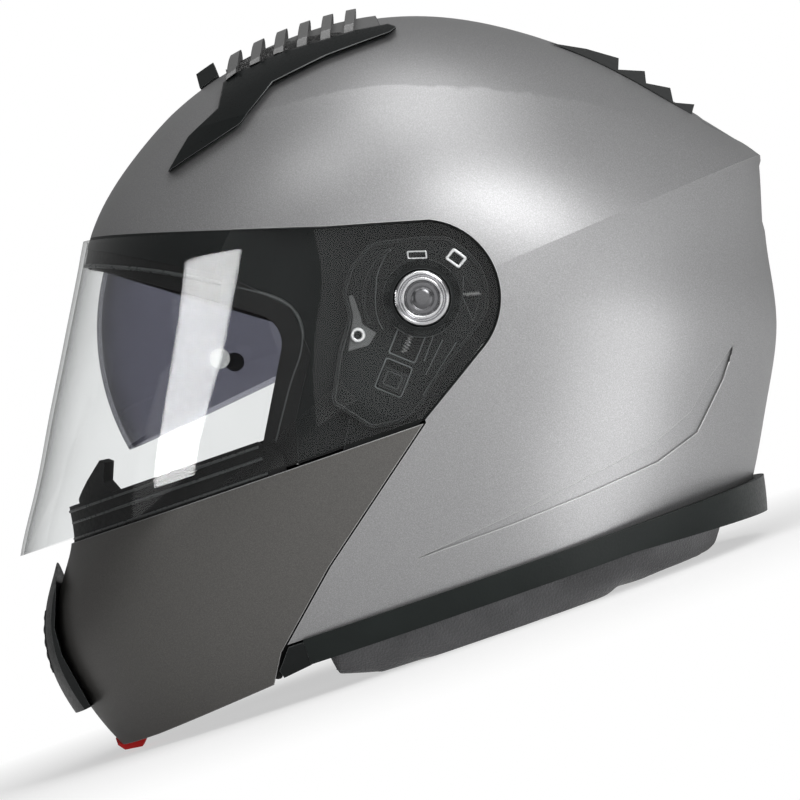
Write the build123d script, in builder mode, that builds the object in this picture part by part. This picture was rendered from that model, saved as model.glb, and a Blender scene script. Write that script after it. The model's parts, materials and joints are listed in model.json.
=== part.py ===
from build123d import *
from math import cos, hypot, pi, radians, sin
import os

# Modular motorcycle helmet with a flip-up chin bar, a clear visor, a drop-down
# sun visor, moulded vents and a soft lining.
#
# The model is worked out about the visor and chin bar pivot: X runs along the
# pivot axis to the wearer's left, Y to the rear, Z up. At the end every piece
# is moved so that the helmet stands on its neck roll at Z = 0.

# Driving dimensions, in millimetres
CROWN_RADIUS = 125.0        # pivot axis to the crown, the unit of side outlines
HALF_WIDTH = 127.0          # middle plane to the widest point of the shell
PIVOT_HEIGHT = 141.0        # pivot axis above the ground
PIVOT_BACK = 21.1           # pivot axis behind the middle of the length
OVERRUN = 60.0              # how far cutting solids run past the helmet
CLEAR = 0.3                 # gap between pieces that only lie together
SEAM_GAP = 1.1              # visible seam between chin bar and shell

SHELL_WALL = 4.0
POCKET_FLOOR = 108.0        # outer face of the flat floor under each visor ear
POCKET_GAP = 1.2            # visor edge to pocket wall
LINING_DEPTH = 34.0         # outer form to the inner face of the foam liner
CROWN_PAD_THICK = 10.0
CHEEK_PAD_THICK = 17.0
BAR_WALL = 3.2
BAR_LINER_THICK = 10.0
GASKET_DEPTH = 9.0
GASKET_FLOOR = 109.5
GASKET_GROW = 24.0
PORT_ROUND = 12.5           # corner radius of the eye port

VISOR_HALF_WIDTH = 131.0
VISOR_WALL = 1.8
VISOR_LINE = 146.4          # pivot axis to the visor's straight front line
VISOR_EDGE = -46.5          # height of the visor's lower edge
EAR_RADIUS = 31.0
EAR_HOLE = 13.4

SUN_BACK = -37.0            # sun visor pivot from the main pivot
SUN_UP = 1.0
SUN_RADIUS = 103.0
SUN_HALF_WIDTH = 100.5
SUN_WALL = 2.0
SUN_SLOT = 1.4              # room on the inner face of the sun visor
SUN_HUB = 5.0

ARM_INNER = 110.0           # layers of the side mechanism, outwards along X
ARM_THICK = 3.0
ARM_DISC = 21.0
BASE_THICK = 3.2
BASE_RIM = 2.0
HUB_RADIUS = 9.0
HUB_FIT = 0.05
KNOB_RADIUS = 11.5
KNOB_TOP = 131.2
RING_WALL = 1.6
STUD_RADIUS = 5.0

TRIM_PROUD = 1.2
TRIM_DEPTH = 7.0
ROLL_DEPTH = 9.0            # outer form to the neck roll's outer face
ROLL_THICK = 24.0
ROLL_ROUND = 4.0
VENT_PROUD = 3.4
RIB_PROUD = 5.4
RIB_PITCH = 10.4
RIB_COUNT = 6
GRILLE_PROUD = 1.2
GRILLE_REACH = 56.0
SLIDER_REACH = 16.0
SLIDER_PROUD = 6.2
REAR_VENT_REACH = 32.0
STRAP_WIDTH = 20.0
STRAP_THICK = 2.0
GROOVE_DEEP = 0.9           # depth of the crescent pressed into the shell's side
GUARD_REACH = 42.0
CHIN_VENT_PROUD = 7.0
CHIN_VENT_REACH = 38.0
SHUTTER_REACH = 20.0
SHUTTER_FIT = 0.5
SHUTTER_TRAVEL = 5.0
BUTTON_REACH = 11.0
BUTTON_FIT = 0.4
PIN_RADIUS = 4.2
PIN_THICK = 1.6
SUN_PIN_RADIUS = 4.0
SUN_PIN_HEAD = 6.0
SUN_PIN_LIP = 0.9
HUB_RING_INNER = 12.0
HUB_RING_OUTER = 16.0
HUB_RING_BASE = 118.4

# The side profile in polar form: degrees up from straight back, over the
# crown and down the front, with the distance as a share of CROWN_RADIUS
SHELL_SHARES = [
    (4.5, 1.20), (18, 1.108), (34, 1.03), (51, 0.988), (67, 0.981), (83, 0.988),
    (100, 1.008), (117, 1.049), (134, 1.096), (151, 1.153), (162, 1.165),
    (173, 1.225), (185, 1.35), (192, 1.41), (196, 1.46), (199.5, 1.575), (204, 1.69),
    (211, 1.776), (218, 1.825), (228, 1.845), (245, 1.82), (270, 1.72), (292, 1.45), (313, 1.282),
    (325, 1.228), (338, 1.216), (351, 1.197), (364.5, 1.196),
]
TRIM_SHARES = SHELL_SHARES[:20] + [(270, 1.76), (292, 1.52), (308, 1.40), (318, 1.25),
                                   (338, 1.216), (351, 1.197), (364.5, 1.196)]
VISOR_SHARES = [(10, 1.18), (40, 1.12), (70, 1.10), (100, 1.12), (125, 1.15)]
VISOR_LOW_SHARES = [(208, 1.84), (225, 1.95), (250, 1.90), (275, 1.72), (300, 1.52),
                    (325, 1.34), (350, 1.22), (370, 1.18)]
VISOR_ANGLES = (148, 156, 164, 172, 180, 188, 195)
VISOR_LEAN = 149.9          # direction square to the visor's front line
SPOILER_SHARES = [(4.5, 0.064), (12, 0.03), (20, 0.0)]
SPOILER_FADE = (0.92, 0.45)
ACROSS_SHARES = [0.988, 0.96, 0.9, 0.8, 0.65, 0.45, 0.22]
SIDE_FULLNESS = 2.2
PROFILE_FULLNESS = 2.3
SUN_FULLNESS = 2.5
SUN_EAR_SHARE = 0.99        # how far out the barrel runs before its flat ear

# Side outlines, (back, up) from the pivot, as shares of CROWN_RADIUS
VISOR_TOP_SHARES = [(-1.9, 0.85), (-0.221, 0.315)]
EAR_START = 66
EAR_END = -56
PORT_SHARES = [(-1.9, 0.86), (-1.04, 0.49), (-0.445, 0.071), (-0.66, -0.30),
               (-0.70, -0.50), (-1.9, -0.50)]
BROW_SHARES = [(-1.9, 0.93), (-1.04, 0.555), (-0.87, 0.455), (-0.57, 0.27),
               (-0.415, 0.11), (-0.405, -0.05), (-0.52, -0.24), (-0.56, -0.379)]
SEAM_TOP_SHARES = [(-0.119, -0.379)]
SEAM_SHARES = [(-0.128, -0.388), (-0.576, -0.732), (-0.816, -0.949), (-0.875, -1.045)]
FRONT_SHARES = [(-0.92, -1.3), (-1.9, -1.3)]
CHIN_SHARES = [(-1.30, -1.085), (-1.9, -1.115), (-1.9, -0.388)]
FOAM_SHARES = [(-0.60, -0.50), (-0.70, -0.80), (-0.72, -1.3), (-1.9, -1.3)]
TRIM_EDGE_SHARES = [(-0.735, -0.932), (1.2, -0.932), (1.2, -1.055), (0.88, -1.05),
                    (0.40, -1.018), (-0.735, -1.018)]
LATCH_SHARES = [(-0.787, -0.94), (-0.735, -0.94), (-0.735, -1.02), (-0.835, -1.033),
                (-0.842, -1.006)]
CRESCENT_SHARES = [(-0.30, -0.80), (0.068, -0.762), (0.32, -0.73), (0.571, -0.697),
                   (0.722, -0.639), (0.811, -0.558), (0.937, -0.475), (0.862, -0.576),
                   (0.722, -0.712), (0.567, -0.76), (0.30, -0.782), (0.04, -0.795)]
VENT_ARM_SHARES = [(-0.657, 0.679), (-0.376, 0.749), (-0.308, 0.798), (-0.232, 0.851),
                   (-0.034, 0.878), (0.193, 0.886), (0.218, 0.897), (0.196, 0.916),
                   (0.088, 0.93), (-0.069, 0.936), (-0.19, 0.942), (-0.336, 0.927),
                   (-0.39, 0.909), (-0.401, 0.886), (-0.433, 0.826), (-0.558, 0.768)]
GRILLE_SHARES = [(-0.37, 0.80), (0.17, 0.80), (0.17, 1.2), (-0.37, 1.2)]
RIB_SHARES = [(-0.40, 0.86), (-0.365, 0.86), (-0.285, 1.06), (-0.32, 1.06)]
SLIDER_SHARES = [(-0.475, 0.93), (-0.47, 1.0), (-0.405, 1.03), (-0.40, 0.93)]
REAR_VENT_SHARES = [(0.56, 0.76), (0.806, 0.628), (0.90, 0.562), (0.886, 0.526),
                    (0.969, 0.492), (0.96, 0.452), (1.032, 0.41), (1.026, 0.36),
                    (1.091, 0.331), (1.07, 0.30), (0.80, 0.50), (0.56, 0.66)]
SUN_EDGE_SHARES = [(-1.30, -0.173), (-0.48, -0.076), (-0.30, -0.09), (-0.22, -0.02),
                   (-0.24, 0.08), (-0.36, 0.17), (-1.12, 0.70), (-1.30, 0.62)]
SUN_WAY_SHARES = [(-1.6, -0.50), (-0.34, -0.12), (-0.18, -0.12), (-0.18, 0.20),
                  (-0.26, 0.30), (-0.30, 0.98), (-1.6, 0.98)]
PLATE_SHARES = [(-0.23, 0.285), (0.085, 0.195), (0.165, 0.15), (0.215, 0.05),
                (0.220, -0.06), (0.190, -0.15), (0.13, -0.210), (-0.085, -0.340),
                (-0.29, -0.340), (-0.26, -0.16), (-0.235, 0.0)]
ARM_SHARES = [(0.12, -0.12), (-0.13, -0.375), (-0.30, -0.49), (-0.43, -0.59),
              (-0.50, -0.57), (-0.43, -0.43), (-0.17, 0.02)]
STUD_SHARES = [(-0.29, -0.445), (-0.43, -0.535)]
LINER_SHARES = [(-0.72, -0.42), (-0.78, -0.74), (-0.92, -0.96), (-0.95, -1.005),
                (-1.9, -1.03), (-1.9, -0.42)]
CROWN_PAD_SHARES = [(-1.3, 0.50), (-0.80, 0.38), (0.0, 0.16), (1.3, 0.0), (1.3, 1.3), (-1.3, 1.3)]
CHEEK_SHARES = [(-0.52, -0.28), (-0.30, -0.12), (0.28, -0.12), (0.34, -0.50),
                (0.22, -0.90), (-0.60, -0.90), (-0.58, -0.55)]
GUARD_SHARES = [(-1.42, -0.325), (-1.34, -0.27), (-1.20, -0.153), (-1.185, -0.166),
                (-1.21, -0.228), (-1.17, -0.325)]
SILL_SHARES = [(-1.9, -0.268), (-0.66, -0.268), (-0.60, -0.325), (-0.60, -0.388),
               (-1.9, -0.388)]
NOTCH_SHARES = [(-1.6, -1.04), (-1.36, -1.04), (-1.36, -1.3), (-1.6, -1.3)]
BUTTON_SHARES = [(-1.468, -1.065), (-1.37, -1.065), (-1.37, -1.10), (-1.39, -1.121),
                 (-1.45, -1.113), (-1.468, -1.09)]
BROW_END_SHARES = [(-1.9, -0.372)]
PIN_SHARES = [(-0.69, 0.03)]
ROLL_SHARES = [(-0.70, -0.935), (1.2, -0.935), (1.2, -1.03), (0.62, -1.115),
               (0.30, -1.128), (-0.55, -1.128), (-0.68, -1.09)]
STRAP_SHARES = [(-0.26, -0.55), (-0.10, -0.55), (-0.10, -1.09), (-0.26, -1.09)]
CHIN_VENT_SHARES = [(-1.9, -0.40), (-1.46, -0.40), (-1.475, -0.50), (-1.53, -0.64),
                    (-1.535, -0.735), (-1.50, -0.93), (-1.9, -0.98)]
SHUTTER_SHARES = [(-1.9, -0.56), (-1.45, -0.56), (-1.48, -0.80), (-1.9, -0.80)]


def at(shares):
    """Outline points in millimetres from their shares."""
    return [(CROWN_RADIUS * back, CROWN_RADIUS * up) for back, up in shares]


def between(table, angle):
    """Straight-line value of a table of (angle, share) at an angle."""
    for (low, first), (high, second) in zip(table, table[1:]):
        if angle <= high:
            return first + (second - first) * (angle - low) / (high - low)
    return 0


def visor_profile():
    """The visor's profile: straight along its front, free above and below."""
    table = list(VISOR_SHARES)
    for angle in VISOR_ANGLES:
        away = VISOR_LINE / cos(radians(angle - VISOR_LEAN))
        table.append((angle, away / CROWN_RADIUS))
    return table + VISOR_LOW_SHARES


def ring(across, inset, shares, spoiler):
    """Points of one closed side section of the helmet's form."""
    shrink = (1 - abs(across) ** SIDE_FULLNESS) ** (1 / PROFILE_FULLNESS)
    full, fading = SPOILER_FADE
    fade = max(0, min(1, (full - abs(across)) / fading))
    points = []
    for angle, share in shares:
        if spoiler:
            share = share + fade * between(SPOILER_SHARES, angle)
        reach = (CROWN_RADIUS * share - inset) * shrink
        points.append((reach * cos(radians(angle)), reach * sin(radians(angle))))
    points[-1] = points[0]
    return points


def skin(inset, shares=SHELL_SHARES, half_width=HALF_WIDTH, spoiler=True):
    """Closed solid of the helmet's outer form, drawn in by an inset."""
    stations = [-share for share in ACROSS_SHARES] + [0] + ACROSS_SHARES[::-1]
    with BuildPart() as form:
        for across in stations:
            with BuildSketch(Plane.YZ.offset(across * (half_width - inset))):
                with BuildLine():
                    Spline(*ring(across, inset, shares, spoiler))
                make_face()
        loft()
    return form.part


def side_block(points, low, high):
    """A side outline drawn out along X from low to high."""
    with BuildPart() as block:
        with BuildSketch(Plane.YZ.offset(low)):
            with BuildLine():
                Polyline(*points, close=True)
            make_face()
        extrude(amount=high - low)
    return block.part


def through(points):
    """A side outline drawn right through the helmet."""
    far = HALF_WIDTH + OVERRUN
    return side_block(points, -far, far)


def rounded(points, radius):
    """A side outline with rounded corners, drawn right through the helmet."""
    far = HALF_WIDTH + OVERRUN
    with BuildPart() as block:
        with BuildSketch(Plane.YZ):
            with BuildLine():
                FilletPolyline(*points, radius=radius, close=True)
            make_face()
        extrude(amount=far, both=True)
    return block.part


def outward(points, low):
    """A side outline drawn outwards on both sides from a distance out."""
    with BuildPart() as pair:
        add(side_block(points, low, HALF_WIDTH + OVERRUN))
        mirror(about=Plane.YZ)
    return pair.part


def slab(low, high):
    """A level slab through the whole helmet."""
    wide = 6 * CROWN_RADIUS
    with BuildPart() as layer:
        with BuildSketch(Plane.XY.offset(low)):
            Rectangle(wide, wide)
        extrude(amount=high - low)
    return layer.part


def post(centre, radius, low, high):
    """A round post along X at a side-view centre."""
    with BuildPart() as rod:
        with BuildSketch(Plane.YZ.offset(low)):
            with Locations(centre):
                Circle(radius)
        extrude(amount=high - low)
    return rod.part


def ear_outline(grow, low):
    """Side outline of the clear visor, drawn outwards on both sides.

    Its ear is round about the pivot, and grow widens it all round."""
    ear = EAR_RADIUS + grow
    front, brow = [(y, z + grow) for y, z in at(VISOR_TOP_SHARES)]
    upper = (ear * cos(radians(EAR_START)), ear * sin(radians(EAR_START)))
    lower = (ear * cos(radians(EAR_END)), ear * sin(radians(EAR_END)))
    edge = VISOR_EDGE - grow
    with BuildPart() as block:
        with BuildSketch(Plane.YZ.offset(low)):
            with BuildLine():
                Polyline(front, brow, upper)
                ThreePointArc(upper, (ear, 0), lower)
                Polyline(lower, (VISOR_EDGE / 3, edge), (front[0], edge), front)
            make_face()
        extrude(amount=HALF_WIDTH + OVERRUN - low)
        mirror(about=Plane.YZ)
    return block.part


def pocketed(inset, grow, floor):
    """The helmet's form with a flat-floored pocket taken off at each ear."""
    with BuildPart() as form:
        add(skin(inset))
        add(ear_outline(grow, floor), mode=Mode.SUBTRACT)
    return form.part


def barrel(radius, half_width):
    """Solid of revolution about the sun visor's pivot axis."""
    steps = (0, 0.25, 0.5, 0.7, 0.85, 0.95, SUN_EAR_SHARE)
    rim = [(half_width * step, radius * (1 - step ** SUN_FULLNESS) ** (1 / SUN_FULLNESS))
           for step in steps]
    rim = [(-x, r) for x, r in rim[:0:-1]] + rim
    centre = Plane((0, SUN_BACK, SUN_UP), x_dir=(1, 0, 0), z_dir=(0, -1, 0))
    with BuildPart() as solid:
        with BuildSketch(centre):
            with BuildLine():
                Spline(*rim)
                Polyline(rim[-1], (rim[-1][0], 0), (rim[0][0], 0), rim[0])
            make_face()
        revolve(axis=Axis((0, SUN_BACK, SUN_UP), (1, 0, 0)))
    return solid.part


def mirrored(piece):
    """The right-hand copy of a left-hand piece."""
    with BuildPart() as copy:
        mirror(piece.part, about=Plane.YZ)
    return copy


def strip_between(outer, inner, limit):
    """What of a limiting block lies inside outer and outside inner."""
    with BuildPart() as piece:
        add(limit)
        add(outer, mode=Mode.INTERSECT)
        add(inner, mode=Mode.SUBTRACT)
    return piece


SEAM = at(SEAM_SHARES)
SHELL_BASE = -0.932 * CROWN_RADIUS
FRONT_CUT = (at(BROW_SHARES + SEAM_TOP_SHARES) + [(y + SEAM_GAP, z) for y, z in SEAM]
             + at(FRONT_SHARES))
PIECES = {}

# Shallow crescent pressed into each side of the shell
with BuildPart() as crescent:
    add(outward(at(CRESCENT_SHARES), HALF_WIDTH / 4))
    add(skin(GROOVE_DEEP), mode=Mode.SUBTRACT)

# Outer shell, hollow, open at the front for the eye port and the chin bar
with BuildPart() as outer_shell:
    add(pocketed(0, POCKET_GAP, POCKET_FLOOR))
    add(pocketed(SHELL_WALL, POCKET_GAP + SHELL_WALL, POCKET_FLOOR - SHELL_WALL),
        mode=Mode.SUBTRACT)
    add(through(FRONT_CUT), mode=Mode.SUBTRACT)
    add(slab(-4 * OVERRUN, SHELL_BASE), mode=Mode.SUBTRACT)
    add(crescent.part, mode=Mode.SUBTRACT)
PIECES["outer_shell"] = outer_shell

# Clear visor: a thin curved shield with a round ear and hub hole each side
with BuildPart() as visor:
    add(ear_outline(0, 0))
    add(skin(0, visor_profile(), VISOR_HALF_WIDTH, False), mode=Mode.INTERSECT)
    add(skin(VISOR_WALL, visor_profile(), VISOR_HALF_WIDTH, False), mode=Mode.SUBTRACT)
    add(post((0, 0), EAR_HOLE, -HALF_WIDTH - OVERRUN, HALF_WIDTH + OVERRUN),
        mode=Mode.SUBTRACT)
PIECES["visor"] = visor

# Chin bar: the painted outer moulding under the visor, notched for the button
far = HALF_WIDTH + OVERRUN
with BuildPart() as chin_bar_shell:
    add(through(SEAM + at(CHIN_SHARES)))
    add(skin(0), mode=Mode.INTERSECT)
    add(skin(BAR_WALL), mode=Mode.SUBTRACT)
    notch = BUTTON_REACH + BUTTON_FIT
    add(side_block(at(NOTCH_SHARES), -notch, notch), mode=Mode.SUBTRACT)
PIECES["chin_bar_shell"] = chin_bar_shell

# Sun visor: part of a barrel about its own pivot, with a hole in each ear
sun_centre = (SUN_BACK, SUN_UP)
with BuildPart() as sun_visor:
    add(barrel(SUN_RADIUS, SUN_HALF_WIDTH))
    add(barrel(SUN_RADIUS - SUN_WALL, SUN_HALF_WIDTH - SUN_WALL), mode=Mode.SUBTRACT)
    add(through(at(SUN_EDGE_SHARES)), mode=Mode.INTERSECT)
    add(post(sun_centre, SUN_PIN_RADIUS + HUB_FIT, -far, far), mode=Mode.SUBTRACT)
PIECES["sun_visor"] = sun_visor

# Foam liner, with a way cut for the sun visor to rise between it and the shell
room = SUN_WALL + SUN_SLOT
with BuildPart() as sun_way:
    add(through(at(SUN_WAY_SHARES)))
    add(barrel(SUN_RADIUS - room, SUN_HALF_WIDTH - room), mode=Mode.SUBTRACT)
depth = SHELL_WALL + CLEAR
with BuildPart() as eps_liner:
    add(pocketed(depth, POCKET_GAP + depth, POCKET_FLOOR - depth))
    add(skin(LINING_DEPTH, spoiler=False), mode=Mode.SUBTRACT)
    add(through(at(BROW_SHARES + FOAM_SHARES)), mode=Mode.SUBTRACT)
    add(outward(FRONT_CUT, POCKET_FLOOR), mode=Mode.SUBTRACT)
    add(slab(-4 * OVERRUN, SHELL_BASE), mode=Mode.SUBTRACT)
    add(sun_way.part, mode=Mode.SUBTRACT)
PIECES["eps_liner"] = eps_liner

PIECES["crown_pad"] = strip_between(
    skin(LINING_DEPTH + CLEAR, spoiler=False),
    skin(LINING_DEPTH + CROWN_PAD_THICK, spoiler=False),
    through(at(CROWN_PAD_SHARES)))

cheek_pad = strip_between(
    skin(LINING_DEPTH + CLEAR, spoiler=False),
    skin(LINING_DEPTH + CHEEK_PAD_THICK, spoiler=False),
    side_block(at(CHEEK_SHARES), 0, far))
PIECES["cheek_pad_left"] = cheek_pad
PIECES["cheek_pad_right"] = mirrored(cheek_pad)

# Trim round the shell's lower edge, flared at the back, and the soft roll in it
PIECES["rim_trim"] = strip_between(
    skin(-TRIM_PROUD, TRIM_SHARES), skin(TRIM_DEPTH), through(at(TRIM_EDGE_SHARES)))
PIECES["neck_roll"] = strip_between(
    skin(TRIM_DEPTH + CLEAR, spoiler=False), skin(TRIM_DEPTH + ROLL_THICK, spoiler=False),
    through(at(ROLL_SHARES)))

latch_cover = strip_between(
    skin(-TRIM_PROUD), skin(TRIM_DEPTH), side_block(at(LATCH_SHARES), 0, far))
PIECES["latch_cover_left"] = latch_cover
PIECES["latch_cover_right"] = mirrored(latch_cover)

# Rubber round the eye port, flat where it passes the ear pockets
with BuildPart() as eyeport_gasket:
    add(through(at(BROW_SHARES + BROW_END_SHARES)))
    add(rounded(at(PORT_SHARES), PORT_ROUND), mode=Mode.SUBTRACT)
    add(pocketed(CLEAR, GASKET_GROW, GASKET_FLOOR), mode=Mode.INTERSECT)
    add(pocketed(GASKET_DEPTH, GASKET_GROW, GASKET_FLOOR - GASKET_DEPTH), mode=Mode.SUBTRACT)
    add(barrel(SUN_RADIUS + SUN_SLOT, SUN_HALF_WIDTH + SUN_SLOT), mode=Mode.SUBTRACT)
PIECES["eyeport_gasket"] = eyeport_gasket

# Side mechanism: hub, base plate and knob on the shell, the arm on the chin bar
arm_top = ARM_INNER + ARM_THICK
plate_low = arm_top + CLEAR
plate_top = plate_low + BASE_THICK
with BuildPart() as pivot_hub:
    add(post((0, 0), HUB_RADIUS, POCKET_FLOOR, plate_top))
PIECES["pivot_hub_left"] = pivot_hub
PIECES["pivot_hub_right"] = mirrored(pivot_hub)

with BuildPart() as pivot_knob:
    add(post((0, 0), KNOB_RADIUS, plate_top, KNOB_TOP))
    add(post((0, 0), KNOB_RADIUS - RING_WALL, KNOB_TOP - RING_WALL, KNOB_TOP),
        mode=Mode.SUBTRACT)
    add(post((0, 0), KNOB_RADIUS / 2, KNOB_TOP - RING_WALL, KNOB_TOP - RING_WALL / 2))
PIECES["pivot_knob_left"] = pivot_knob
PIECES["pivot_knob_right"] = mirrored(pivot_knob)

with BuildPart() as chin_arm:
    add(post((0, 0), ARM_DISC, ARM_INNER, arm_top))
    add(side_block(at(ARM_SHARES), ARM_INNER, arm_top))
    for centre in at(STUD_SHARES):
        add(post(centre, STUD_RADIUS, ARM_INNER, far))
    add(skin(BAR_WALL), mode=Mode.INTERSECT)
    add(post((0, 0), HUB_RADIUS + HUB_FIT, 0, far), mode=Mode.SUBTRACT)
PIECES["chin_arm_left"] = chin_arm
PIECES["chin_arm_right"] = mirrored(chin_arm)

with BuildPart() as visor_base:
    add(side_block(at(PLATE_SHARES), plate_low, plate_top + BASE_RIM))
    with BuildSketch(Plane.YZ.offset(plate_top)):
        with BuildLine():
            Polyline(*at(PLATE_SHARES), close=True)
        make_face()
        offset(amount=-BASE_RIM / 2, kind=Kind.INTERSECTION)
    extrude(amount=BASE_RIM, mode=Mode.SUBTRACT)
    add(post((0, 0), HUB_RADIUS + HUB_FIT, 0, far), mode=Mode.SUBTRACT)
PIECES["visor_base_left"] = visor_base
PIECES["visor_base_right"] = mirrored(visor_base)

visor_inside = skin(VISOR_WALL, visor_profile(), VISOR_HALF_WIDTH, False)
with BuildPart() as visor_hub:
    add(post((0, 0), HUB_RING_OUTER, HUB_RING_BASE, far))
    add(visor_inside, mode=Mode.INTERSECT)
    add(post((0, 0), HUB_RING_INNER, 0, far), mode=Mode.SUBTRACT)
PIECES["visor_hub_left"] = visor_hub
PIECES["visor_hub_right"] = mirrored(visor_hub)

insert_pin = strip_between(
    visor_inside, skin(VISOR_WALL + PIN_THICK, visor_profile(), VISOR_HALF_WIDTH, False),
    post(at(PIN_SHARES)[0], PIN_RADIUS, 0, far))
PIECES["insert_pin_left"] = insert_pin
PIECES["insert_pin_right"] = mirrored(insert_pin)

with BuildPart() as sun_pivot:
    floor_back = POCKET_FLOOR - SHELL_WALL
    head = SUN_EAR_SHARE * (SUN_HALF_WIDTH - SUN_WALL) - CLEAR
    add(post(sun_centre, SUN_PIN_RADIUS, head, floor_back))
    add(post(sun_centre, SUN_PIN_HEAD, head - SUN_PIN_LIP, head))
PIECES["sun_pivot_left"] = sun_pivot
PIECES["sun_pivot_right"] = mirrored(sun_pivot)

# Inside and upper edge of the chin bar
PIECES["chin_bar_liner"] = strip_between(
    skin(BAR_WALL + CLEAR), skin(BAR_WALL + BAR_LINER_THICK), through(at(LINER_SHARES)))
PIECES["visor_gasket_lower"] = strip_between(
    skin(BAR_WALL / 2), skin(2 * BAR_WALL), through(at(SILL_SHARES)))
with BuildPart() as breath_guard:
    add(side_block(at(GUARD_SHARES), -GUARD_REACH, GUARD_REACH))
    add(skin(2 * BAR_WALL), mode=Mode.INTERSECT)
PIECES["breath_guard"] = breath_guard

with BuildPart() as chin_vent_frame:
    add(side_block(at(CHIN_VENT_SHARES), -CHIN_VENT_REACH, CHIN_VENT_REACH))
    add(skin(-CHIN_VENT_PROUD), mode=Mode.INTERSECT)
    add(skin(0), mode=Mode.SUBTRACT)
PIECES["chin_vent_frame"] = chin_vent_frame

with BuildPart() as release_button:
    add(side_block(at(BUTTON_SHARES), -BUTTON_REACH, BUTTON_REACH))
PIECES["release_button"] = release_button

# Crown vent: two raking arms joined by a grille of slanted ribs, and its slider
vent_arm = strip_between(skin(-VENT_PROUD), skin(0), side_block(at(VENT_ARM_SHARES), 0, far))
PIECES["top_vent_arm_left"] = vent_arm
PIECES["top_vent_arm_right"] = mirrored(vent_arm)
arms = outward(at(VENT_ARM_SHARES), 0)
with BuildPart() as ribs:
    for number in range(RIB_COUNT):
        rib = [(y + number * RIB_PITCH, z) for y, z in at(RIB_SHARES)]
        add(side_block(rib, -GRILLE_REACH, GRILLE_REACH))
    add(skin(-RIB_PROUD), mode=Mode.INTERSECT)
with BuildPart() as top_vent_grille:
    add(side_block(at(GRILLE_SHARES), -GRILLE_REACH, GRILLE_REACH))
    add(skin(-GRILLE_PROUD), mode=Mode.INTERSECT)
    add(ribs.part)
    add(skin(0), mode=Mode.SUBTRACT)
    add(arms, mode=Mode.SUBTRACT)
PIECES["top_vent_grille"] = top_vent_grille
PIECES["top_vent_slider"] = strip_between(
    skin(-SLIDER_PROUD), skin(-CLEAR),
    side_block(at(SLIDER_SHARES), -SLIDER_REACH, SLIDER_REACH))
PIECES["rear_vent"] = strip_between(
    skin(-OVERRUN), skin(0),
    side_block(at(REAR_VENT_SHARES), -REAR_VENT_REACH, REAR_VENT_REACH))

# Chin straps, hanging unfastened against the cheek pads
strap_depth = LINING_DEPTH + CHEEK_PAD_THICK
chin_strap = strip_between(
    skin(strap_depth, spoiler=False), skin(strap_depth + STRAP_THICK, spoiler=False),
    side_block(at(STRAP_SHARES), 0, far))
PIECES["chin_strap_left"] = chin_strap
PIECES["chin_strap_right"] = mirrored(chin_strap)

os.makedirs("parts", exist_ok=True)
for name, piece in PIECES.items():
    stood = piece.part.moved(Location((0, PIVOT_BACK, PIVOT_HEIGHT)))
    stood.label = name
    export_step(stood, f"parts/{name}.step")
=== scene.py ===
import json
import math

import bmesh
import bpy
import numpy as np
from mathutils import Matrix, Vector
from mathutils.bvhtree import BVHTree


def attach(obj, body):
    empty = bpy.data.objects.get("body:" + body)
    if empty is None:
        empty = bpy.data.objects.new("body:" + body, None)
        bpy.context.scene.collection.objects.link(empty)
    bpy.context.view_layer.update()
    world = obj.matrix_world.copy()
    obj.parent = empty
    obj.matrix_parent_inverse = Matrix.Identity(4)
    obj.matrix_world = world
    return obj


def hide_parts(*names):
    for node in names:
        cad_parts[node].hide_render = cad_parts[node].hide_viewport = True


# The looks of a modular motorcycle helmet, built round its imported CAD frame.
# Lengths are in metres, in the frame's own axes: +X to the wearer's left,
# +Y to the back, +Z up. Only the side mechanism is written in millimetres.

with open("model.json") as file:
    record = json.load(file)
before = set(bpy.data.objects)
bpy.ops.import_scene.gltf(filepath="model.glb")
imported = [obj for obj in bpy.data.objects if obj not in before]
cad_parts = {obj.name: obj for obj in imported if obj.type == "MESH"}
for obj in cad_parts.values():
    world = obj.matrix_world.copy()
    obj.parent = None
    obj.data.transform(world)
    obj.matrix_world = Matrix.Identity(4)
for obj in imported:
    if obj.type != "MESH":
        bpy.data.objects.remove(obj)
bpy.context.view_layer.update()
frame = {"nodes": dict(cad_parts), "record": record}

# Sizes of the helmet's forms
MM = 0.001
PIVOT = Vector((0.0, 0.0211, 0.141))
CROWN = 0.125
HALF_WIDTH = 0.127
VISOR_HALF_WIDTH = 0.131
VISOR_LINE = 0.1464
VISOR_LEAN = 149.9
VISOR_WALL = 0.0018
SHELL_WALL = 0.004
BAR_WALL = 0.0032
SUN_BACK, SUN_UP = -0.037, 0.001
SUN_RADIUS = 0.103
SUN_HALF_WIDTH = 0.1005
SUN_WALL = 0.002
TRIM_PROUD, TRIM_DEPTH = 0.0012, 0.007
VENT_PROUD, RIB_PROUD, GRILLE_PROUD = 0.0034, 0.0054, 0.0012
CHIN_VENT_PROUD = 0.007
GROOVE_DEEP = 0.0009
SIDE_FULLNESS = 2.2
PROFILE_FULLNESS = 2.3
SUN_FULLNESS = 2.5
SIDES = ((1, "left"), (-1, "right"))

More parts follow.
